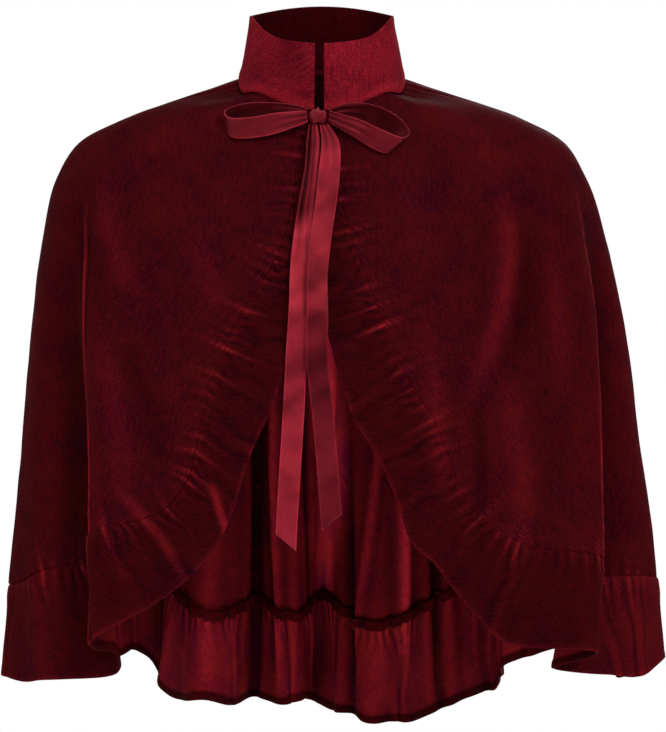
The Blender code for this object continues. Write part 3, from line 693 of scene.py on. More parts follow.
def clusters(place, seed):
    """How strongly the cloth is drawn up along a seam: in some stretches hardly, in others tightly."""
    return np.clip(0.65 + 0.9 * wander(place, CLUSTER_SIZES, seed + 11), 0.12, 1.4)


def lumps(points, lump, seed):
    """How far the cloth's soft unevenness stands out at each point."""
    return lump.height * unevenness(points, lump.size, seed)


def puckers(pucker, place, away, seed):
    """How far a seam's puckers stand out, at these places along it and so far away from it."""
    return pucker.height * (plump(place, pucker.pitch, seed) - 0.5) * np.exp(-away / pucker.reach)


def groove(kind, away):
    """How deep the thread pulls the cloth in, so far away from a seam."""
    return kind.depth * hump(away, kind.width)


def sewn_line(edge):
    """A panel's sewn edge as a close line of points, with how far along it each one is."""
    places = np.linspace(0, len(edge) - 1, 4 * SAMPLES_PER_ROW * (len(edge) - 1) // 3)
    seam = read_edge(edge, places)
    line = cape_point(seam[:, 0], seam[:, 1])
    return line, lengths(line), places


def nearest(points, line):
    """For each point of a grid, how far the line is and which of its points is nearest."""
    flat = points.reshape(-1, 3)
    far, which = np.empty(len(flat)), np.empty(len(flat), int)
    batch = 2000
    for start in range(0, len(flat), batch):
        some = slice(start, start + batch)
        away = np.linalg.norm(flat[some, None, :] - line[None, :, :], axis=2)
        which[some] = away.argmin(axis=1)
        far[some] = away.min(axis=1)
    return far.reshape(points.shape[:2]), which.reshape(points.shape[:2])


# How many points each panel's shell has, and about how long it is, which sets its rims' rows.
FRONT_COLUMNS = 96
FRONT_ROWS = 112
FRONT_WIDTH = 0.33
FRONT_LENGTH = 0.45
BACK_COLUMNS = 250
BACK_ROWS = 116
BACK_LENGTH = 0.50


def front_grid(edge, corner):
    """Angles and drops of a front panel's shell. The sewn edge runs down its first column and last row."""
    side = edge[-1].seam_angle
    places = np.linspace(0, len(edge) - 1, SAMPLES_PER_ROW * len(edge))
    seam = read_edge(edge, places)
    down = places <= corner
    drops = crowd(FRONT_ROWS, FRONT_LENGTH)
    left_place = np.interp(drops * edge[corner].seam_drop, seam[down, 1], places[down])
    walked = lengths(cape_point(seam[~down, 0], seam[~down, 1]))
    bottom_place = np.interp(crowd(FRONT_COLUMNS, FRONT_WIDTH) * walked[-1], walked, places[~down])
    bottom_place[0] = corner
    left = read_edge(edge, left_place)
    bottom = read_edge(edge, bottom_place)
    across = (bottom[:, 0] - bottom[0, 0]) / (bottom[-1, 0] - bottom[0, 0])
    u, v = across[None, :, None], drops[:, None, None]
    neck = np.stack([left[0, 0] + (side - left[0, 0]) * across, np.zeros_like(across)], axis=1)
    seam_side = np.stack([np.full_like(drops, side), drops * edge[-1].seam_drop], axis=1)
    corners = (
        (1 - u) * (1 - v) * left[0]
        + u * (1 - v) * neck[-1]
        + (1 - u) * v * left[-1]
        + u * v * bottom[-1]
    )
    grid = (1 - v) * neck[None] + v * bottom[None] - corners
    grid += (1 - u) * left[:, None] + u * seam_side[:, None]
    grid[:, -1, 0] -= math.copysign(1.0, side) * half_gap("front_y", grid[:, -1, 1])
    return grid


def back_grid():
    """Angles and drops of the back panel's shell. The sewn edge is its last row."""
    places = np.linspace(0, len(BACK_EDGE) - 1, SAMPLES_PER_ROW * len(BACK_EDGE))
    seam = read_edge(BACK_EDGE, places)
    walked = lengths(cape_point(seam[:, 0], seam[:, 1]))
    seam_place = np.interp(crowd(BACK_COLUMNS, walked[-1]) * walked[-1], walked, places)
    hem = read_edge(BACK_EDGE, seam_place)
    shares = crowd(BACK_ROWS, BACK_LENGTH)
    grid = np.repeat(hem[None, :, :], len(shares), axis=0)
    grid[:, :, 1] *= shares[:, None]
    grid[:, 0, 0] += half_gap("back_y", grid[:, 0, 1])
    grid[:, -1, 0] -= half_gap("back_y", grid[:, -1, 1])
    return grid


def side_shadow(angle):
    """How far round behind its front crest the cloth lies: 0 in front and 1 on the wearer's right side."""
    turned = from_front(angle)
    return ease(np.abs(turned), *PANEL_TURN) * (turned < 0)


def make_panel(panel, edge, grid, seed, material):
    """A panel of the body, with its creases, its puckers at the seams and its soft unevenness."""
    base = cape_point(grid[..., 0], grid[..., 1])
    out = cape_normal(grid[..., 0], grid[..., 1])
    line, walked, _ = sewn_line(edge)
    far, which = nearest(base, line)
    place = walked[which]
    down, across = grid_lengths(base)
    height, shine_out, shine_in = crease_relief(panel, base)
    height += lumps(base, PANEL_SWELL, seed) * ease(down, 0.0, 0.05)
    height += lumps(base, PANEL_RIPPLE, seed + 1)
    ends = ease(np.minimum(place, walked[-1] - place), 0.0, 0.02)
    drawn_up = ends * clusters(place, seed)
    height += drawn_up * puckers(SHORT_PUCKER, place, far, seed)
    height += drawn_up * puckers(LONG_PUCKER, place, far, seed + 7)
    height += puckers(NECK_PUCKER, grid[..., 0] * NECK_ARC, down, seed + 3) * ease(across, 0.0, 0.01)
    side_far = across[:, -1:] - across
    if panel == "back":
        side_far = np.minimum(across, side_far)
    height -= groove(RUFFLE_GROOVE, far) + groove(NECK_GROOVE, down) + groove(SIDE_GROOVE, side_far)
    # Painted highlights along the crests of the gathers beside the seam.
    gather_highlights = drawn_up * gather_highlight_lines(place, GATHER_PITCH, seed) * np.exp(-far / PANEL_GATHER_HIGHLIGHTS.reach)
    tone_out = PANEL_TONE + shine_out + PANEL_GATHER_HIGHLIGHTS.tone * gather_highlights
    # Painted shade on the wearer's right side, behind the front crest.
    tone_out = tone_out + PAINTED_SIDE_SHADE * side_shadow(grid[..., 0])
    collar_shadow = 0.25 + 0.75 * ease(down, 0.10, 0.30)
    tone_in = INSIDE_PAINTED_LIGHT * np.clip(1.1 + shine_in, 0.08, None) * collar_shadow
    return cloth("velvet_" + panel, base, out, height, VELVET / 2, VELVET / 2, material, (tone_out, tone_in))


# How far apart a ruffle's columns lie, its rows, its rough depth and the lengths of its hem's waves.
RUFFLE_STEP = 0.0018
RUFFLE_ROWS = 34
RUFFLE_DEPTH = 0.08
RUFFLE_WAVES = (0.048, 0.071)
# How far aside the gathers drift on their way down, and over what lengths that changes.
DRIFT = 0.016
DRIFT_SIZES = (0.09, 0.047)
# They also sway: how far aside, and how quickly down the ruffle and along it.
SWAY = 0.002
SWAY_DOWN = 9
SWAY_ALONG = 60
# What share of the ruffle's depth the fine gathers run down, how much that varies and over what lengths.
FINE_REACH = 0.36
FINE_REACH_CHANGE = 0.20
FINE_REACH_SIZES = (0.019, 0.033)
# The rows that are tucked under the panel: shares of the ruffle's depth, and how far in they lie.
RUFFLE_TUCK = (-0.045, -0.040, -0.030, -0.015)
TUCK_DEPTH = 0.0022
# Below its seam the ruffle swells out: by how much, how far below and over what width.
SEAM_SWELL = 0.0008
SWELL_BELOW = 0.010
SWELL_WIDTH = 0.009
# The seam's thread pinches it in: how deep and over what distance.
PINCH = 0.0004
PINCH_WIDTH = 0.004
# The turned hem is thicker, and the stitches above it draw the cloth in, on each face.
HEM_EXTRA_OUT = 0.0003
HEM_EXTRA_IN = 0.0011
STITCH_OUT = 0.0004
STITCH_IN = 0.0007
STITCH_WIDTH = 0.0010


def ruffle_base(edge, places, share):
    """Angles and drops of a ruffle at these places along its edge and this share of the way down it."""
    sewn = read_edge(edge, places)
    free = read_edge(edge, places, "edge")
    low, high, depth_name = -LEFT_SEAM, LEFT_SEAM, "front_y"
    if edge is BACK_EDGE:
        low, high, depth_name = LEFT_SEAM, RIGHT_SEAM, "back_y"
    both = sewn[None] + (free - sewn)[None] * np.asarray(share)[:, None, None]
    gap = half_gap(depth_name, both[..., 1])
    both[..., 0] = np.clip(both[..., 0], low + gap, high - gap)
    return both


def gather_relief(place, share, seed, fine_height, broad_height, wave_height):
    """How far the gathers, the folds that they run into and the waves at the hem stand out."""
    drawn = place + DRIFT * share * wander(place, DRIFT_SIZES, seed)
    drawn = drawn + SWAY * np.sin(SWAY_DOWN * share + place * SWAY_ALONG)
    reach = FINE_REACH + FINE_REACH_CHANGE * wander(place, FINE_REACH_SIZES, seed + 1)
    fine = plump(drawn, GATHER_PITCH, seed) - 0.5
    fine = fine * ease(share, -0.02, 0.06) * (1 - ease(share, 0.04, reach))
    broad = plump(drawn, PUCKER_PITCH, seed + 7) - 0.5
    broad = broad * ease(share, 0.0, 0.35) * (1 - 0.45 * ease(share, 0.4, 1.0))
    wave = sum(np.sin(2 * math.pi * drawn / size) for size in RUFFLE_WAVES) / 2
    strength = 0.25 + 0.75 * clusters(place, seed)
    gathers = strength * (fine_height * fine + broad_height * broad)
    return gathers + wave_height * wave * np.clip(share, 0, None) ** 1.2


def make_ruffle(panel, edge, seed, heights, material):
    """The gathered strip along a panel's sewn edge, tucked under it, with a narrow hem turned in."""
    _, walked, places = sewn_line(edge)
    place = crowd(int(walked[-1] / RUFFLE_STEP), walked[-1]) * walked[-1]
    at = np.interp(place, walked, places)
    first = len(RUFFLE_TUCK)
    share = np.concatenate([RUFFLE_TUCK, crowd(RUFFLE_ROWS, RUFFLE_DEPTH)[len(RIM_STEPS) - 1:]])
    share[first:] = (share[first:] - share[first]) / (1 - share[first])
    grid = ruffle_base(edge, at, share)
    base = cape_point(grid[..., 0], grid[..., 1])
    out = cape_normal(grid[..., 0], grid[..., 1])
    down, _ = grid_lengths(base)
    from_seam = down - down[first]
    to_hem = down[-1:] - down
    v = share[:, None]
    ends = ease(np.minimum(place, place[-1] - place), 0.0, 0.012)[None, :]
    height = ends * gather_relief(place[None, :], v, seed, *heights)
    height += ends * SEAM_SWELL * hump(from_seam - SWELL_BELOW, SWELL_WIDTH)
    relief, shine_out, shine_in = crease_relief(panel, base)
    height += relief
    height -= TUCK_DEPTH * (1 - ease(from_seam, -0.0020, 0.0012))
    height -= PINCH * np.exp(-np.abs(from_seam) / PINCH_WIDTH)
    height += lumps(base, RUFFLE_RIPPLE, seed + 4) * ease(v, 0.0, 0.3)
    hem = ease(-to_hem, -HEM_TURNING - 0.0008, -HEM_TURNING)
    stitch = hump(to_hem - HEM_TURNING + STITCH_WIDTH, STITCH_WIDTH)
    half_out = VELVET / 2 + HEM_EXTRA_OUT * hem - STITCH_OUT * stitch
    half_in = VELVET / 2 + HEM_EXTRA_IN * hem - STITCH_IN * stitch
    # Painted highlights along the crests of the gathers, on both faces.
    lines = (clusters(place, seed) * gather_highlight_lines(place, GATHER_PITCH, seed))[None, :]
    lines = ends * lines * np.exp(-np.clip(from_seam, 0, None) / RUFFLE_GATHER_HIGHLIGHTS.reach)
    turned = from_front(grid[..., 0])
    # Painted light on the ruffle round the sides, past its front crest.
    side_light = np.where(turned > 0, RUFFLE_LEFT_SIDE_LIGHT, RUFFLE_RIGHT_SIDE_LIGHT)
    round_side_light = ease(np.abs(turned), *RUFFLE_TURN) * side_light
    # Painted highlight along the hem's rolled edge.
    rolled_hem_highlight = ROLLED_HEM_HIGHLIGHT * np.exp(-to_hem / ROLLED_HEM_WIDTH)
    tone_out = RUFFLE_TONE + round_side_light + shine_out + RUFFLE_GATHER_HIGHLIGHTS.tone * lines + rolled_hem_highlight
    puffs = PUFF_TONE * wander(place, PUFF_SIZES, seed + 9)[None, :] * (1 - ease(v, 0.5, 1.0))
    # The ruffle's inside gets painted light, most below its seam and on its gathers' crests.
    tone_in = INSIDE_PAINTED_LIGHT * (1.75 - 0.5 * v + puffs + 0.6 * lines) * (1 - TURNED_HEM_SHADE * hem)
    tone_in = tone_in * np.clip(1 + shine_in, 0.12, 1.5)
    name = "velvet_ruffle_" + panel
    return cloth(name, base, out, height, half_out, half_in, material, (tone_out, tone_in))


# The raw edges inside the seams: their grids, how far they reach below a ruffle's seam, how far inside
# the panel they lie and half their thickness, first at a ruffle's seam and then pressed open at a side
# seam, and how bright the pressed ones are.
TURNING_STEP = 0.0024
TURNING_ROWS = 9
TURNING_BELOW = 0.0030
TURNING_INSIDE = 0.0040
TURNING_HALF = 0.0012
PRESSED_INSIDE = 0.0024
PRESSED_HALF = 0.0007
PRESSED_TONE = 0.6
# A pressed seam's rows, its rough length, the drops that it starts below the neck seam and stops short of
# the hem, and how much deeper its stitched line lies.
PRESSED_COUNT = 110
PRESSED_LENGTH = 0.6
PRESSED_START = 0.004
PRESSED_SHORT = 0.006
PRESSED_LINE = 0.0003
# A cut edge is lumpy: how high and how far apart its tufts are, and how far it wavers over what lengths.
TUFT_HEIGHT = 0.0012
TUFT_PITCH = 0.0047
WAVER = 0.0010
WAVER_SIZES = (0.013, 0.021)


def make_seam_turning(panel, edge, seed, material):
    """The raw edges inside a ruffle's seam, a narrow lumpy band that lies up against the panel."""
    _, walked, places = sewn_line(edge)
    place = crowd(int(walked[-1] / TURNING_STEP), walked[-1]) * walked[-1]
    at = np.interp(place, walked, places)
    seam = read_edge(edge, at)
    points = cape_point(seam[:, 0], seam[:, 1])
    normal = cape_normal(seam[:, 0], seam[:, 1])
    step = ruffle_base(edge, at, [0.0, 0.05])
    away = unit(np.diff(cape_point(step[..., 0], step[..., 1]), axis=0)[0])
    width = np.linspace(TURNING_BELOW, -SEAM_TURNING, TURNING_ROWS)
    uneven = TUFT_HEIGHT * (plump(place, TUFT_PITCH, seed) - 0.5) + WAVER * wander(place, WAVER_SIZES, seed)
    base = points[None] + away[None] * (width[:, None] - 2.0 * uneven[None, :])[..., None]
    out = np.repeat(normal[None], len(width), axis=0)
    relief, _, _ = crease_relief(panel, base)
    height = uneven[None, :] + relief - TURNING_INSIDE
    return cloth("turning_ruffle_" + panel, base, out, height, TURNING_HALF, TURNING_HALF, material)


def make_side_turning(side, angle, foot, material):
    """The raw edges of a side seam, pressed open inside it from the neck to the ruffle's hem."""
    drops = crowd(PRESSED_COUNT, PRESSED_LENGTH) * (foot - PRESSED_START - PRESSED_SHORT) + PRESSED_START
    share = np.linspace(-1, 1, TURNING_ROWS)
    depth = (along(SECTIONS, "front_y", drops) + along(SECTIONS, "back_y", drops)) / 2
    wide = np.degrees(SIDE_TURNING / depth)
    angles = angle + wide[:, None] * share[None, :]
    drop = np.repeat(drops[:, None], len(share), axis=1)
    base = cape_point(angles, drop)
    out = cape_normal(angles, drop)
    height = np.full(base.shape[:2], -PRESSED_INSIDE) - PRESSED_LINE * (1 - np.abs(share))[None, :]
    tone = (PRESSED_TONE, PRESSED_TONE)
    return cloth("turning_side_" + side, base, out, height, PRESSED_HALF, PRESSED_HALF, material, tone)


def make_collar(material):
    """The stand collar: two layers of velvet turned at the top, standing in the neck seam."""
    low, high = COLLAR_SLIT
    angles = high + (360 + low - high) * crowd(COLLAR_COLUMNS, COLLAR_ROUND)
    turn = np.radians(angles)[None, :]
    foot = cape_point(angles, 0.0) + cape_normal(angles, 0.0) * (VELVET / 2 + SEAM_GAP)
    share = np.concatenate([COLLAR_TUCK, crowd(COLLAR_ROWS, COLLAR_HEIGHT)])[:, None]
    above = np.clip(share, 0, None)
    front_y, back_y = along(COLLAR_RINGS, "front_y", above), along(COLLAR_RINGS, "back_y", above)
    depth = np.where(np.cos(turn) > 0, front_y, back_y)
    x = COLLAR_SHIFT + along(COLLAR_RINGS, "side_x", above) * np.sin(turn)
    y = -depth * np.cos(turn)
    near_foot = 1 - ease(above, 0.0, 0.22)
    x = x + (foot[None, :, 0] - x) * near_foot
    y = y + (foot[None, :, 1] - y) * near_foot
    turned = from_front(angles)
    top_dip = COLLAR_TOP_DIP * hump(np.abs(turned) - COLLAR_TOP_DIP_ANGLE, COLLAR_TOP_DIP_SPREAD)
    tall = COLLAR_HEIGHT * (1 - COLLAR_DIP * np.sin(turn) ** 2) + neck_dip(angles) - top_dip
    z = foot[None, :, 2] + SEAM_GAP + tall * share
    base = np.stack(np.broadcast_arrays(x, y, z), axis=-1)
    reach = np.full_like(x, COLLAR_REACH)
    out = unit(np.stack([np.sin(turn) * depth, -np.cos(turn) * reach, np.zeros_like(x)], axis=-1))
    height = lumps(base, COLLAR_RIPPLE, 41) * ease(above, 0.0, 0.25) * (1 - 0.6 * ease(above, 0.8, 1.0))
    height = height - TUCK_DEPTH * (1 - ease(share, -0.03, 0.05))
    patch = hump(turned - PATCH_ANGLE, PATCH_SPREAD)[None, :] * ease(above, 0.1, 0.7)
    # Painted light: the collar is drawn lighter towards the wearer's left, where the light falls.
    tone_out = 1 - PATCH_SHADE * patch + 0.15 * ease(turned, -10, 30)[None, :]
    half = COLLAR_CLOTH / 2
    return cloth("velvet_collar", base, out, height, half, half, material, (tone_out, COLLAR_INSIDE_PAINTED_SHADE))


# Where along a tail, in metres from the knot, its satin leans to catch the light or away from it.
Band = namedtuple("Band", "place strength width")
BANDS = named(Band, [
    (0.03, 0.35, 0.012),
    (0.077, -0.3, 0.008),
    (0.1, 0.3, 0.009),
    (0.147, -0.25, 0.006),
    (0.16, 0.25, 0.005),
    (0.176, -0.3, 0.007),
    (0.195, 0.2, 0.007),
    (0.218, -0.35, 0.014),
    (0.247, -0.3, 0.008),
    (0.3, 0.15, 0.02),
])

# How the ribbon's cloth is pleated where it is squeezed, and how it ripples, twists and cups as it hangs.
PLEATS = 2.5
PLEAT_HEIGHT = 0.7
RIPPLE_PITCH = 0.058
TWIST = 0.0007
TWIST_PITCH = 0.083
CUP = 0.0005
# Its woven edges begin at this share of its half width, are a little thicker, and catch more light on the
# loops than on the tails.
SELVEDGE_START = (0.86, 0.92)
SELVEDGE = 0.00012
TAIL_EDGE_TONE = 0.45
LOOP_EDGE_TONE = 1.3
# Low down a tail that hangs untwisted leans away from the light.
LOWER_TONE = -0.36
# How far the bands slant across the width, a pleat's painted light and shade, and how high a full one
# stands.
BAND_SLANT = 0.006
PLEAT_LIGHT_AND_SHADE = 0.40
FULL_PLEAT = 0.0016
# The share of a tail's length in which its end is cut slant.
CUT_SHARE = 0.1
# A twisted tail is painted in shade from the knot to where it has turned.
TWISTED_TO = (0.075, 0.110)
TWISTED_SHADE = 0.85


def make_ribbon(name, stations, slant, ripple, tones, twisted, material):
    """A length of satin ribbon through its stations, pleated where it is squeezed narrower."""
    table = np.array(stations, float)
    places = np.linspace(0, len(table) - 1, 400)
    walked = lengths(through(table, places)[:, :3])
    share = crowd(int(walked[-1] / RIBBON_STEP), walked[-1])
    along_it = share * walked[-1]
    read = through(table, np.interp(along_it, walked, places))
    middle, width = read[:, :3], read[:, 6]
    across = unit(read[:, 3:6])
    tangent = unit(np.gradient(middle, axis=0))
    out = unit(np.cross(tangent, across))
    side = 2 * crowd(RIBBON_COLUMNS, RIBBON_WIDTH) - 1
    base = middle[None] + across[None] * (width[None, :] * side[:, None] / 2)[..., None]
    cut = np.clip((share - (1 - CUT_SHARE)) / CUT_SHARE, 0, None)
    base = base + tangent[None] * (slant * side[:, None] * cut[None, :])[..., None]
    squeeze = np.sqrt(np.clip(RIBBON_WIDTH / width - 1, 0, 1.2))
    pleat = (width / PLEATS / math.pi * squeeze)[None, :] * np.cos(math.pi * PLEATS * side[:, None] + 0.7)
    wave = ripple * np.sin(2 * math.pi * along_it / RIPPLE_PITCH + 1.1) * ease(along_it, 0.03, 0.08)
    twist = TWIST * side[:, None] * np.sin(2 * math.pi * along_it / TWIST_PITCH)[None, :]
    hangs = ripple > 0
    height = PLEAT_HEIGHT * pleat + wave[None, :] + twist * hangs + CUP * side[:, None] ** 2
    out = np.repeat(out[None], len(side), axis=0)
    edge = ease(np.abs(side), *SELVEDGE_START)[:, None]
    half = RIBBON_CLOTH / 2 + SELVEDGE * edge
    slanted = along_it[None, :] + BAND_SLANT * side[:, None]
    bands = sum(band.strength * hump(slanted - band.place, band.width) for band in BANDS)
    lower = LOWER_TONE * ease(along_it, 0.11, 0.20)[None, :] * (1 - twisted)
    face = 1 + (bands + lower) * hangs + (TAIL_EDGE_TONE if hangs else LOOP_EDGE_TONE) * edge
    # Painted shade on a twisted tail near the knot, most on one half.
    one_side = (1 - 0.65 * ease(side, -0.20, 0.30))[:, None]
    turned_away = (1 - ease(along_it, *TWISTED_TO))[None, :] * one_side
    face = face * (1 - twisted * TWISTED_SHADE * turned_away)
    # Painted highlight on a pleat's crest and painted shade in its hollow.
    hollow = np.clip(pleat / FULL_PLEAT, -1, 1) * PLEAT_LIGHT_AND_SHADE
    tone = (tones[0] * (face + hollow), tones[1] * (face - hollow))
    return cloth(name, base, out, height, half, half, material, tone)


def make_knot(material):
    """The bow's knot: a wrap of ribbon round the roots of the loops, creased by its pull."""
    around = np.linspace(0, 2 * math.pi, KNOT_COLUMNS, endpoint=False)
    profile = np.linspace(-1, 1, KNOT_ROWS)
    ring = np.clip(1 - np.abs(profile) ** 3.2, 0, 1) ** (1 / 2.4)
    fold = (
        0.15 * np.sin(6.5 * profile[:, None] + 1.9 * np.sin(around)[None, :])
        + 0.09 * np.sin(13 * profile[:, None] - 2.6 * np.cos(around)[None, :] + 1.0)
        + 0.07 * np.sin(5 * around[None, :] + 4 * profile[:, None])
    )
    size = 1 + fold * ring[:, None]
    half_length, radius_y, radius_z = (size_across / 2 for size_across in KNOT_SIZE)
    x = KNOT_CENTRE[0] + half_length * profile[:, None]
    y = KNOT_CENTRE[1] + radius_y * ring[:, None] * size * np.cos(around)[None, :]
    z = KNOT_CENTRE[2] + radius_z * ring[:, None] * size * np.sin(around)[None, :]
    points = np.stack(np.broadcast_arrays(x, y, z), axis=-1)[1:-1]
    rows, columns = points.shape[:2]
    number = np.arange(rows * columns).reshape(rows, columns)
    beside = np.roll(number, -1, axis=1)
    faces = np.stack([number[:-1], beside[:-1], beside[1:], number[1:]], axis=-1).reshape(-1, 4).tolist()
    first, last = rows * columns, rows * columns + 1
    faces += [(first, int(beside[0, k]), int(number[0, k])) for k in range(columns)]
    faces += [(last, int(number[-1, k]), int(beside[-1, k])) for k in range(columns)]
    ends = [(KNOT_CENTRE[0] + reach, *KNOT_CENTRE[1:]) for reach in (-half_length, half_length)]
    mesh = bpy.data.meshes.new("satin_knot")
    mesh.from_pydata([tuple(p) for p in points.reshape(-1, 3)] + ends, [], faces)
    mesh.uv_layers.new(name="cut")
    turns = np.concatenate([np.repeat(profile[1:-1], columns) * half_length, [0, 0]])
    rounds = np.concatenate([np.tile(around * radius_z, rows), [0, 0]])
    corners = np.empty(len(mesh.loops), int)
    mesh.loops.foreach_get("vertex_index", corners)
    flat = np.stack([turns[corners], rounds[corners]], axis=1)
    mesh.uv_layers["cut"].data.foreach_set("uv", flat.ravel())
    set_value(mesh, "tone", np.full(len(mesh.vertices), KNOT_TONE))
    return add_piece("satin_knot", mesh, material)


def linear(colour):
    """An sRGB hex colour as the linear values that a shader takes."""
    parts = [int(colour[i:i + 2], 16) / 255 for i in (1, 3, 5)]
    return tuple(p / 12.92 if p <= 0.04045 else ((p + 0.055) / 1.055) ** 2.4 for p in parts) + (1.0,)


def add_node(tree, kind, settings=(), **links):
    """A shader node of this kind with its settings, and its sockets' values or what they are linked to."""
    node = tree.nodes.new("ShaderNode" + kind)
    for name, value in dict(settings).items():
        setattr(node, name, value)
    for name, value in links.items():
        key = int(name[1:]) if name[1:].isdigit() else name.replace("_", " ")
        socket = node.inputs[key]
        if isinstance(value, bpy.types.NodeSocket):
            tree.links.new(value, socket)
        else:
            socket.default_value = value
    return node


MULTIPLY_ADD = {"operation": "MULTIPLY_ADD"}
ACTIVE = {"is_active_output": True}


def blank_material(name):
    material = bpy.data.materials.new(name)
    material.use_nodes = True
    material.node_tree.nodes.clear()
    return material, material.node_tree


# Light sinks in between upright fibres, so a pile mirrors far less than the fibres' own index of 1.5.
PILE_IOR = 1.04
# The clouds where a hand has brushed the pile and its streaks along the cut are at their real sizes. The
# grain of its tufts is about 0.4 mm in cloth like this and is drawn at 1.2 mm, or the photo's 0.92 mm to the
# pixel would lose it.
PILE_CLOUD = 0.040
PILE_GRAIN = 0.0012
PILE_STREAK = (0.0028, 0.011)
PILE_TINT = "#e0141f"
# Satin's floats are about 0.1 mm wide, and are drawn at 0.4 mm for the same reason.
SATIN_FLOAT = (0.012, 0.0004)
SATIN_CLOUD = 0.022
SATIN_IOR = 1.55
SATIN_TINT = "#e0404c"


def velvet_material(name, dark, light, crest_highlight, sheen):
    """Cotton velvet, a dense upright cut pile, with painted highlight on crests and painted shade in
    valleys.
    """
    material, tree = blank_material(name)
    place = add_node(tree, "TexCoord").outputs
    crest = add_node(tree, "Attribute", {"attribute_name": "crest"}).outputs["Fac"]
    # The tone attribute carries painted light and shade.
    painted_light_and_shade = add_node(tree, "Attribute", {"attribute_name": "tone"}).outputs["Fac"]
    brushed_and_lit = add_node(tree, "TexNoise", Vector=place["Object"], Scale=1 / PILE_CLOUD, Detail=3.0,
                       Roughness=0.6, Distortion=0.3).outputs["Fac"]
    grain = add_node(tree, "TexNoise", Vector=place["Object"], Scale=1 / PILE_GRAIN, Detail=2.0,
                     Roughness=0.6).outputs["Fac"]
    across, along_cut = PILE_STREAK
    stretch = add_node(tree, "Mapping", Vector=place["UV"], Scale=(1 / across, 1 / along_cut, 1.0))
    streak = add_node(tree, "TexNoise", Vector=stretch.outputs[0], Scale=1.0, Detail=2.0,
                      Roughness=0.55).outputs["Fac"]
    tone = add_node(tree, "ValToRGB", _0=brushed_and_lit)
    for stop, position, colour in zip(tone.color_ramp.elements, (0.34, 0.66), (dark, light)):
        stop.position, stop.color = position, linear(colour)
    pile = add_node(tree, "Math", MULTIPLY_ADD, _0=grain, _1=1.0, _2=-0.50)
    pile = add_node(tree, "Math", MULTIPLY_ADD, _0=streak, _1=0.5, _2=pile.outputs[0])
    # Painted highlight: the crests are mixed towards a brighter colour.
    catch = add_node(tree, "Math", MULTIPLY_ADD, _0=crest, _1=0.30, _2=pile.outputs[0])
    lit = add_node(tree, "MapRange", Value=catch.outputs[0], From_Min=0.10, From_Max=0.85,
                   To_Min=0.0, To_Max=1.0)
    mixed = add_node(tree, "Mix", {"data_type": "RGBA"}, _0=lit.outputs[0], _6=tone.outputs[0],
                     _7=linear(crest_highlight))
    # Painted shade: the valleys are darkened, and all is scaled by the painted light and shade of the tone
    # attribute.
    valley = add_node(tree, "MapRange", Value=crest, From_Min=-0.9, From_Max=0.1, To_Min=0.70, To_Max=1.0)
    depth = add_node(tree, "Math", {"operation": "MULTIPLY"}, _0=valley.outputs[0], _1=painted_light_and_shade)
    shaded = add_node(tree, "VectorMath", {"operation": "SCALE"}, _0=mixed.outputs[2],
                      Scale=depth.outputs[0])
    fuzz = add_node(tree, "Math", {"operation": "ADD"}, _0=grain, _1=streak)
    bump = add_node(tree, "Bump", Strength=0.30, Distance=0.0006, Height=fuzz.outputs[0])
    shader = add_node(tree, "BsdfPrincipled", Base_Color=shaded.outputs[0], Normal=bump.outputs[0],
                      Roughness=0.78, IOR=PILE_IOR, Sheen_Weight=sheen, Sheen_Roughness=0.38,
                      Sheen_Tint=linear(PILE_TINT))
    add_node(tree, "OutputMaterial", ACTIVE, Surface=shader.outputs[0])
    return material


def satin_material():
    """Polyester satin ribbon: long smooth floats along its length give soft bright and dark bands."""
    material, tree = blank_material("rose-red double-faced satin ribbon")
    place = add_node(tree, "TexCoord").outputs
    # The tone attribute carries painted light and shade.
    painted_light_and_shade = add_node(tree, "Attribute", {"attribute_name": "tone"}).outputs["Fac"]
    long, wide = SATIN_FLOAT
    floats = add_node(tree, "Mapping", Vector=place["UV"], Scale=(1 / long, 1 / wide, 1.0))
    thread = add_node(tree, "TexNoise", Vector=floats.outputs[0], Scale=1.0, Detail=2.0,
                      Roughness=0.5).outputs["Fac"]
    cloudy = add_node(tree, "TexNoise", Vector=place["Object"], Scale=1 / SATIN_CLOUD,
                      Detail=2.0).outputs["Fac"]
    tone = add_node(tree, "Math", MULTIPLY_ADD, _0=thread, _1=0.35, _2=0.0)
    tone = add_node(tree, "Math", MULTIPLY_ADD, _0=cloudy, _1=0.65, _2=tone.outputs[0])
    ramp = add_node(tree, "ValToRGB", _0=tone.outputs[0])
    for stop, position, colour in zip(ramp.color_ramp.elements, (0.35, 0.65), ("#480c13", "#60141d")):
        stop.position, stop.color = position, linear(colour)
    shaded = add_node(tree, "VectorMath", {"operation": "SCALE"}, _0=ramp.outputs[0], Scale=painted_light_and_shade)
    bump = add_node(tree, "Bump", Strength=0.12, Distance=0.0002, Height=thread)
    shader = add_node(tree, "BsdfPrincipled", Base_Color=shaded.outputs[0], Normal=bump.outputs[0],
                      Roughness=0.38, IOR=SATIN_IOR, Specular_IOR_Level=0.20,
                      Specular_Tint=linear(SATIN_TINT), Anisotropic=0.5)
    add_node(tree, "OutputMaterial", ACTIVE, Surface=shader.outputs[0])
    return material


def floor_material():
    """Matt white paint, just uneven enough to read as a surface."""
    material, tree = blank_material("matt pale studio floor")
    place = add_node(tree, "TexCoord").outputs
    cloudy = add_node(tree, "TexNoise", Vector=place["Object"], Scale=1.5, Detail=3.0).outputs["Fac"]
    ramp = add_node(tree, "ValToRGB", _0=cloudy)
    for stop, colour in zip(ramp.color_ramp.elements, ("#e9e8e6", "#f1f0ee")):
        stop.color = linear(colour)
    shader = add_node(tree, "BsdfPrincipled", Base_Color=ramp.outputs[0], Roughness=0.9)
    add_node(tree, "OutputMaterial", ACTIVE, Surface=shader.outputs[0])
    return material


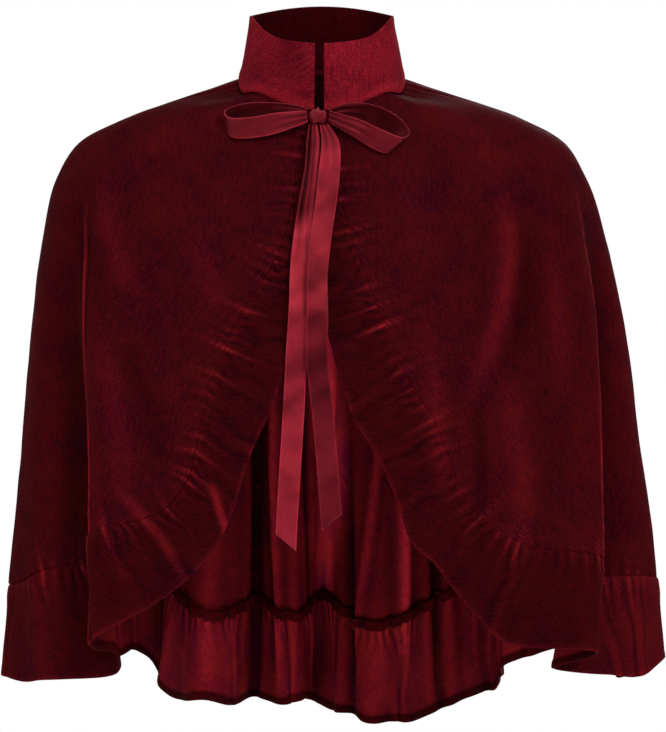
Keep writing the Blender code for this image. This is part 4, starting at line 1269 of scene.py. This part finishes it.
# The floor lies as far below the neck as an adult wearer's does.
FLOOR_Z = -1.45
FLOOR_RADIUS = 3.0


def make_floor():
    bpy.ops.mesh.primitive_circle_add(vertices=96, radius=FLOOR_RADIUS, fill_type="NGON", location=(0, 0, 0))
    floor = bpy.context.active_object
    floor.name = "studio_floor"
    floor.data.transform(Matrix.Translation((0, 0, FLOOR_Z)))
    floor.data.materials.append(floor_material())


# The camera stands where the photograph's did: level with the cape's middle and a little above it.
CAMERA_TARGET = Vector((0.0092, 0.0, -0.2613))
CAMERA_DISTANCE = 2.6
CAMERA_ELEVATION = 5.0
PHOTO_HEIGHT = 732
METRES_PER_PIXEL = 0.00092
SENSOR = 36.0


def make_camera():
    data = bpy.data.cameras.new("camera")
    camera = link("camera", data)
    rise = math.radians(CAMERA_ELEVATION)
    camera.location = CAMERA_TARGET + Vector((0, -math.cos(rise), math.sin(rise))) * CAMERA_DISTANCE
    camera.rotation_euler = (math.pi / 2 - rise, 0, 0)
    data.sensor_width = SENSOR
    data.lens = SENSOR * CAMERA_DISTANCE / (PHOTO_HEIGHT * METRES_PER_PIXEL)
    bpy.context.scene.camera = camera


# The soft lights of the studio: where each stands, how large it is and how strong.
Light = namedtuple("Light", "name x y z size power")
LIGHTS = named(Light, [
    ("key", 1, -2.4, 1.2, 1, 85),
    ("fill", -1.6, -1.8, 0.5, 1.2, 32),
    ("top", 0, 0.3, 2.2, 1.4, 26),
    ("rim_left", 2.2, 1.4, 0.4, 1, 16),
    ("rim_right", -2.2, 1.4, 0.4, 1, 14),
    ("back", 0.5, 2.4, 0.9, 1.2, 55),
])
WORLD_STRENGTH = 1.0


def make_lights():
    for light in LIGHTS:
        data = bpy.data.lights.new(light.name, "AREA")
        data.shape = "DISK"
        data.size = light.size
        data.energy = light.power
        lamp = link(light.name, data)
        lamp.location = (light.x, light.y, light.z)
        lamp.rotation_euler = (CAMERA_TARGET - lamp.location).to_track_quat("-Z", "Y").to_euler()
    world = bpy.data.worlds.new("studio")
    world.use_nodes = True
    sky = world.node_tree.nodes["Background"]
    sky.inputs["Color"].default_value = (1.0, 1.0, 1.0, 1.0)
    sky.inputs["Strength"].default_value = WORLD_STRENGTH
    bpy.context.scene.world = world
    bpy.context.scene.view_settings.view_transform = "Standard"


def finish_piece(piece, slot, *nodes):
    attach(piece, "root")
    if nodes:
        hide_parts(*nodes)
    return piece


# Each panel's cut and its ruffle's: the flat sizes before they were sewn, the panel's area, and how high
# the ruffle's fine gathers, broad folds and hem waves stand.
Cut = namedtuple("Cut", "panel edge seed width length area ruffle_length ruffle_depth fine broad wave")
CUTS = named(Cut, [
    ("front_left", LEFT_EDGE, 11, 0.36, 0.56, 0.122, 0.85, 0.071, 0.0011, 0.0012, 0.0022),
    ("front_right", RIGHT_EDGE, 23, 0.35, 0.55, 0.110, 0.80, 0.067, 0.0011, 0.0012, 0.0022),
    ("back", BACK_EDGE, 37, 1.06, 0.58, 0.390, 1.27, 0.100, 0.0017, 0.0016, 0.0034),
])


def make_velvet():
    velvet = velvet_material("burgundy cut-pile velvet", "#170107", "#240304", "#420608", 0.010)
    # The collar is drawn in a lighter copy of the velvet, painted light.
    brushed_and_lit = velvet_material("burgundy velvet painted lighter for the collar", "#2e0309", "#40040d", "#74141c", 0.03)
    grids = {
        "front_left": front_grid(LEFT_EDGE, LEFT_CORNER),
        "front_right": front_grid(RIGHT_EDGE, RIGHT_CORNER),
        "back": back_grid(),
    }
    for side, angle, foot in (("left", LEFT_SEAM, 1.150), ("right", RIGHT_SEAM, 1.160)):
        finish_piece(make_side_turning(side, angle, foot, velvet), "velvet")
    for cut in CUTS:
        panel = make_panel(cut.panel, cut.edge, grids[cut.panel], cut.seed, velvet)
        finish_piece(panel, "velvet", cut.panel)
        turning = finish_piece(make_seam_turning(cut.panel, cut.edge, cut.seed, velvet), "velvet")
        heights = (cut.fine, cut.broad, cut.wave)
        ruffle = make_ruffle(cut.panel, cut.edge, cut.seed, heights, velvet)
        finish_piece(ruffle, "velvet", "ruffle_" + cut.panel)
    collar = finish_piece(make_collar(brushed_and_lit), "velvet", "collar")


def make_bow():
    satin = satin_material()
    knot = finish_piece(make_knot(satin), "ribbon", "ribbon_knot")
    # How bright each loop's outer and inner face is drawn: the darker face is painted shade.
    loops = (("left", LOOP_LEFT, (0.24, 0.46)), ("right", LOOP_RIGHT, (0.62, 0.27)))
    for side, stations, tones in loops:
        loop = make_ribbon("satin_loop_" + side, stations, 0.0, 0.0, tones, 0.0, satin)
        finish_piece(loop, "ribbon", "ribbon_loop_" + side)
    # The right tail is painted lighter and the left one darker, painted light and shade.
    tails = (("left", TAIL_LEFT, -TAIL_SLANT, 0.78, 0.0), ("right", TAIL_RIGHT, TAIL_SLANT, 1.15, 1.0))
    for side, stations, slant, tone, twisted in tails:
        tail = make_ribbon("satin_tail_" + side, stations, slant, 0.0010, (tone, tone), twisted, satin)
        finish_piece(tail, "ribbon", "ribbon_tail_" + side)


make_camera()
make_lights()
make_floor()
make_velvet()
make_bow()
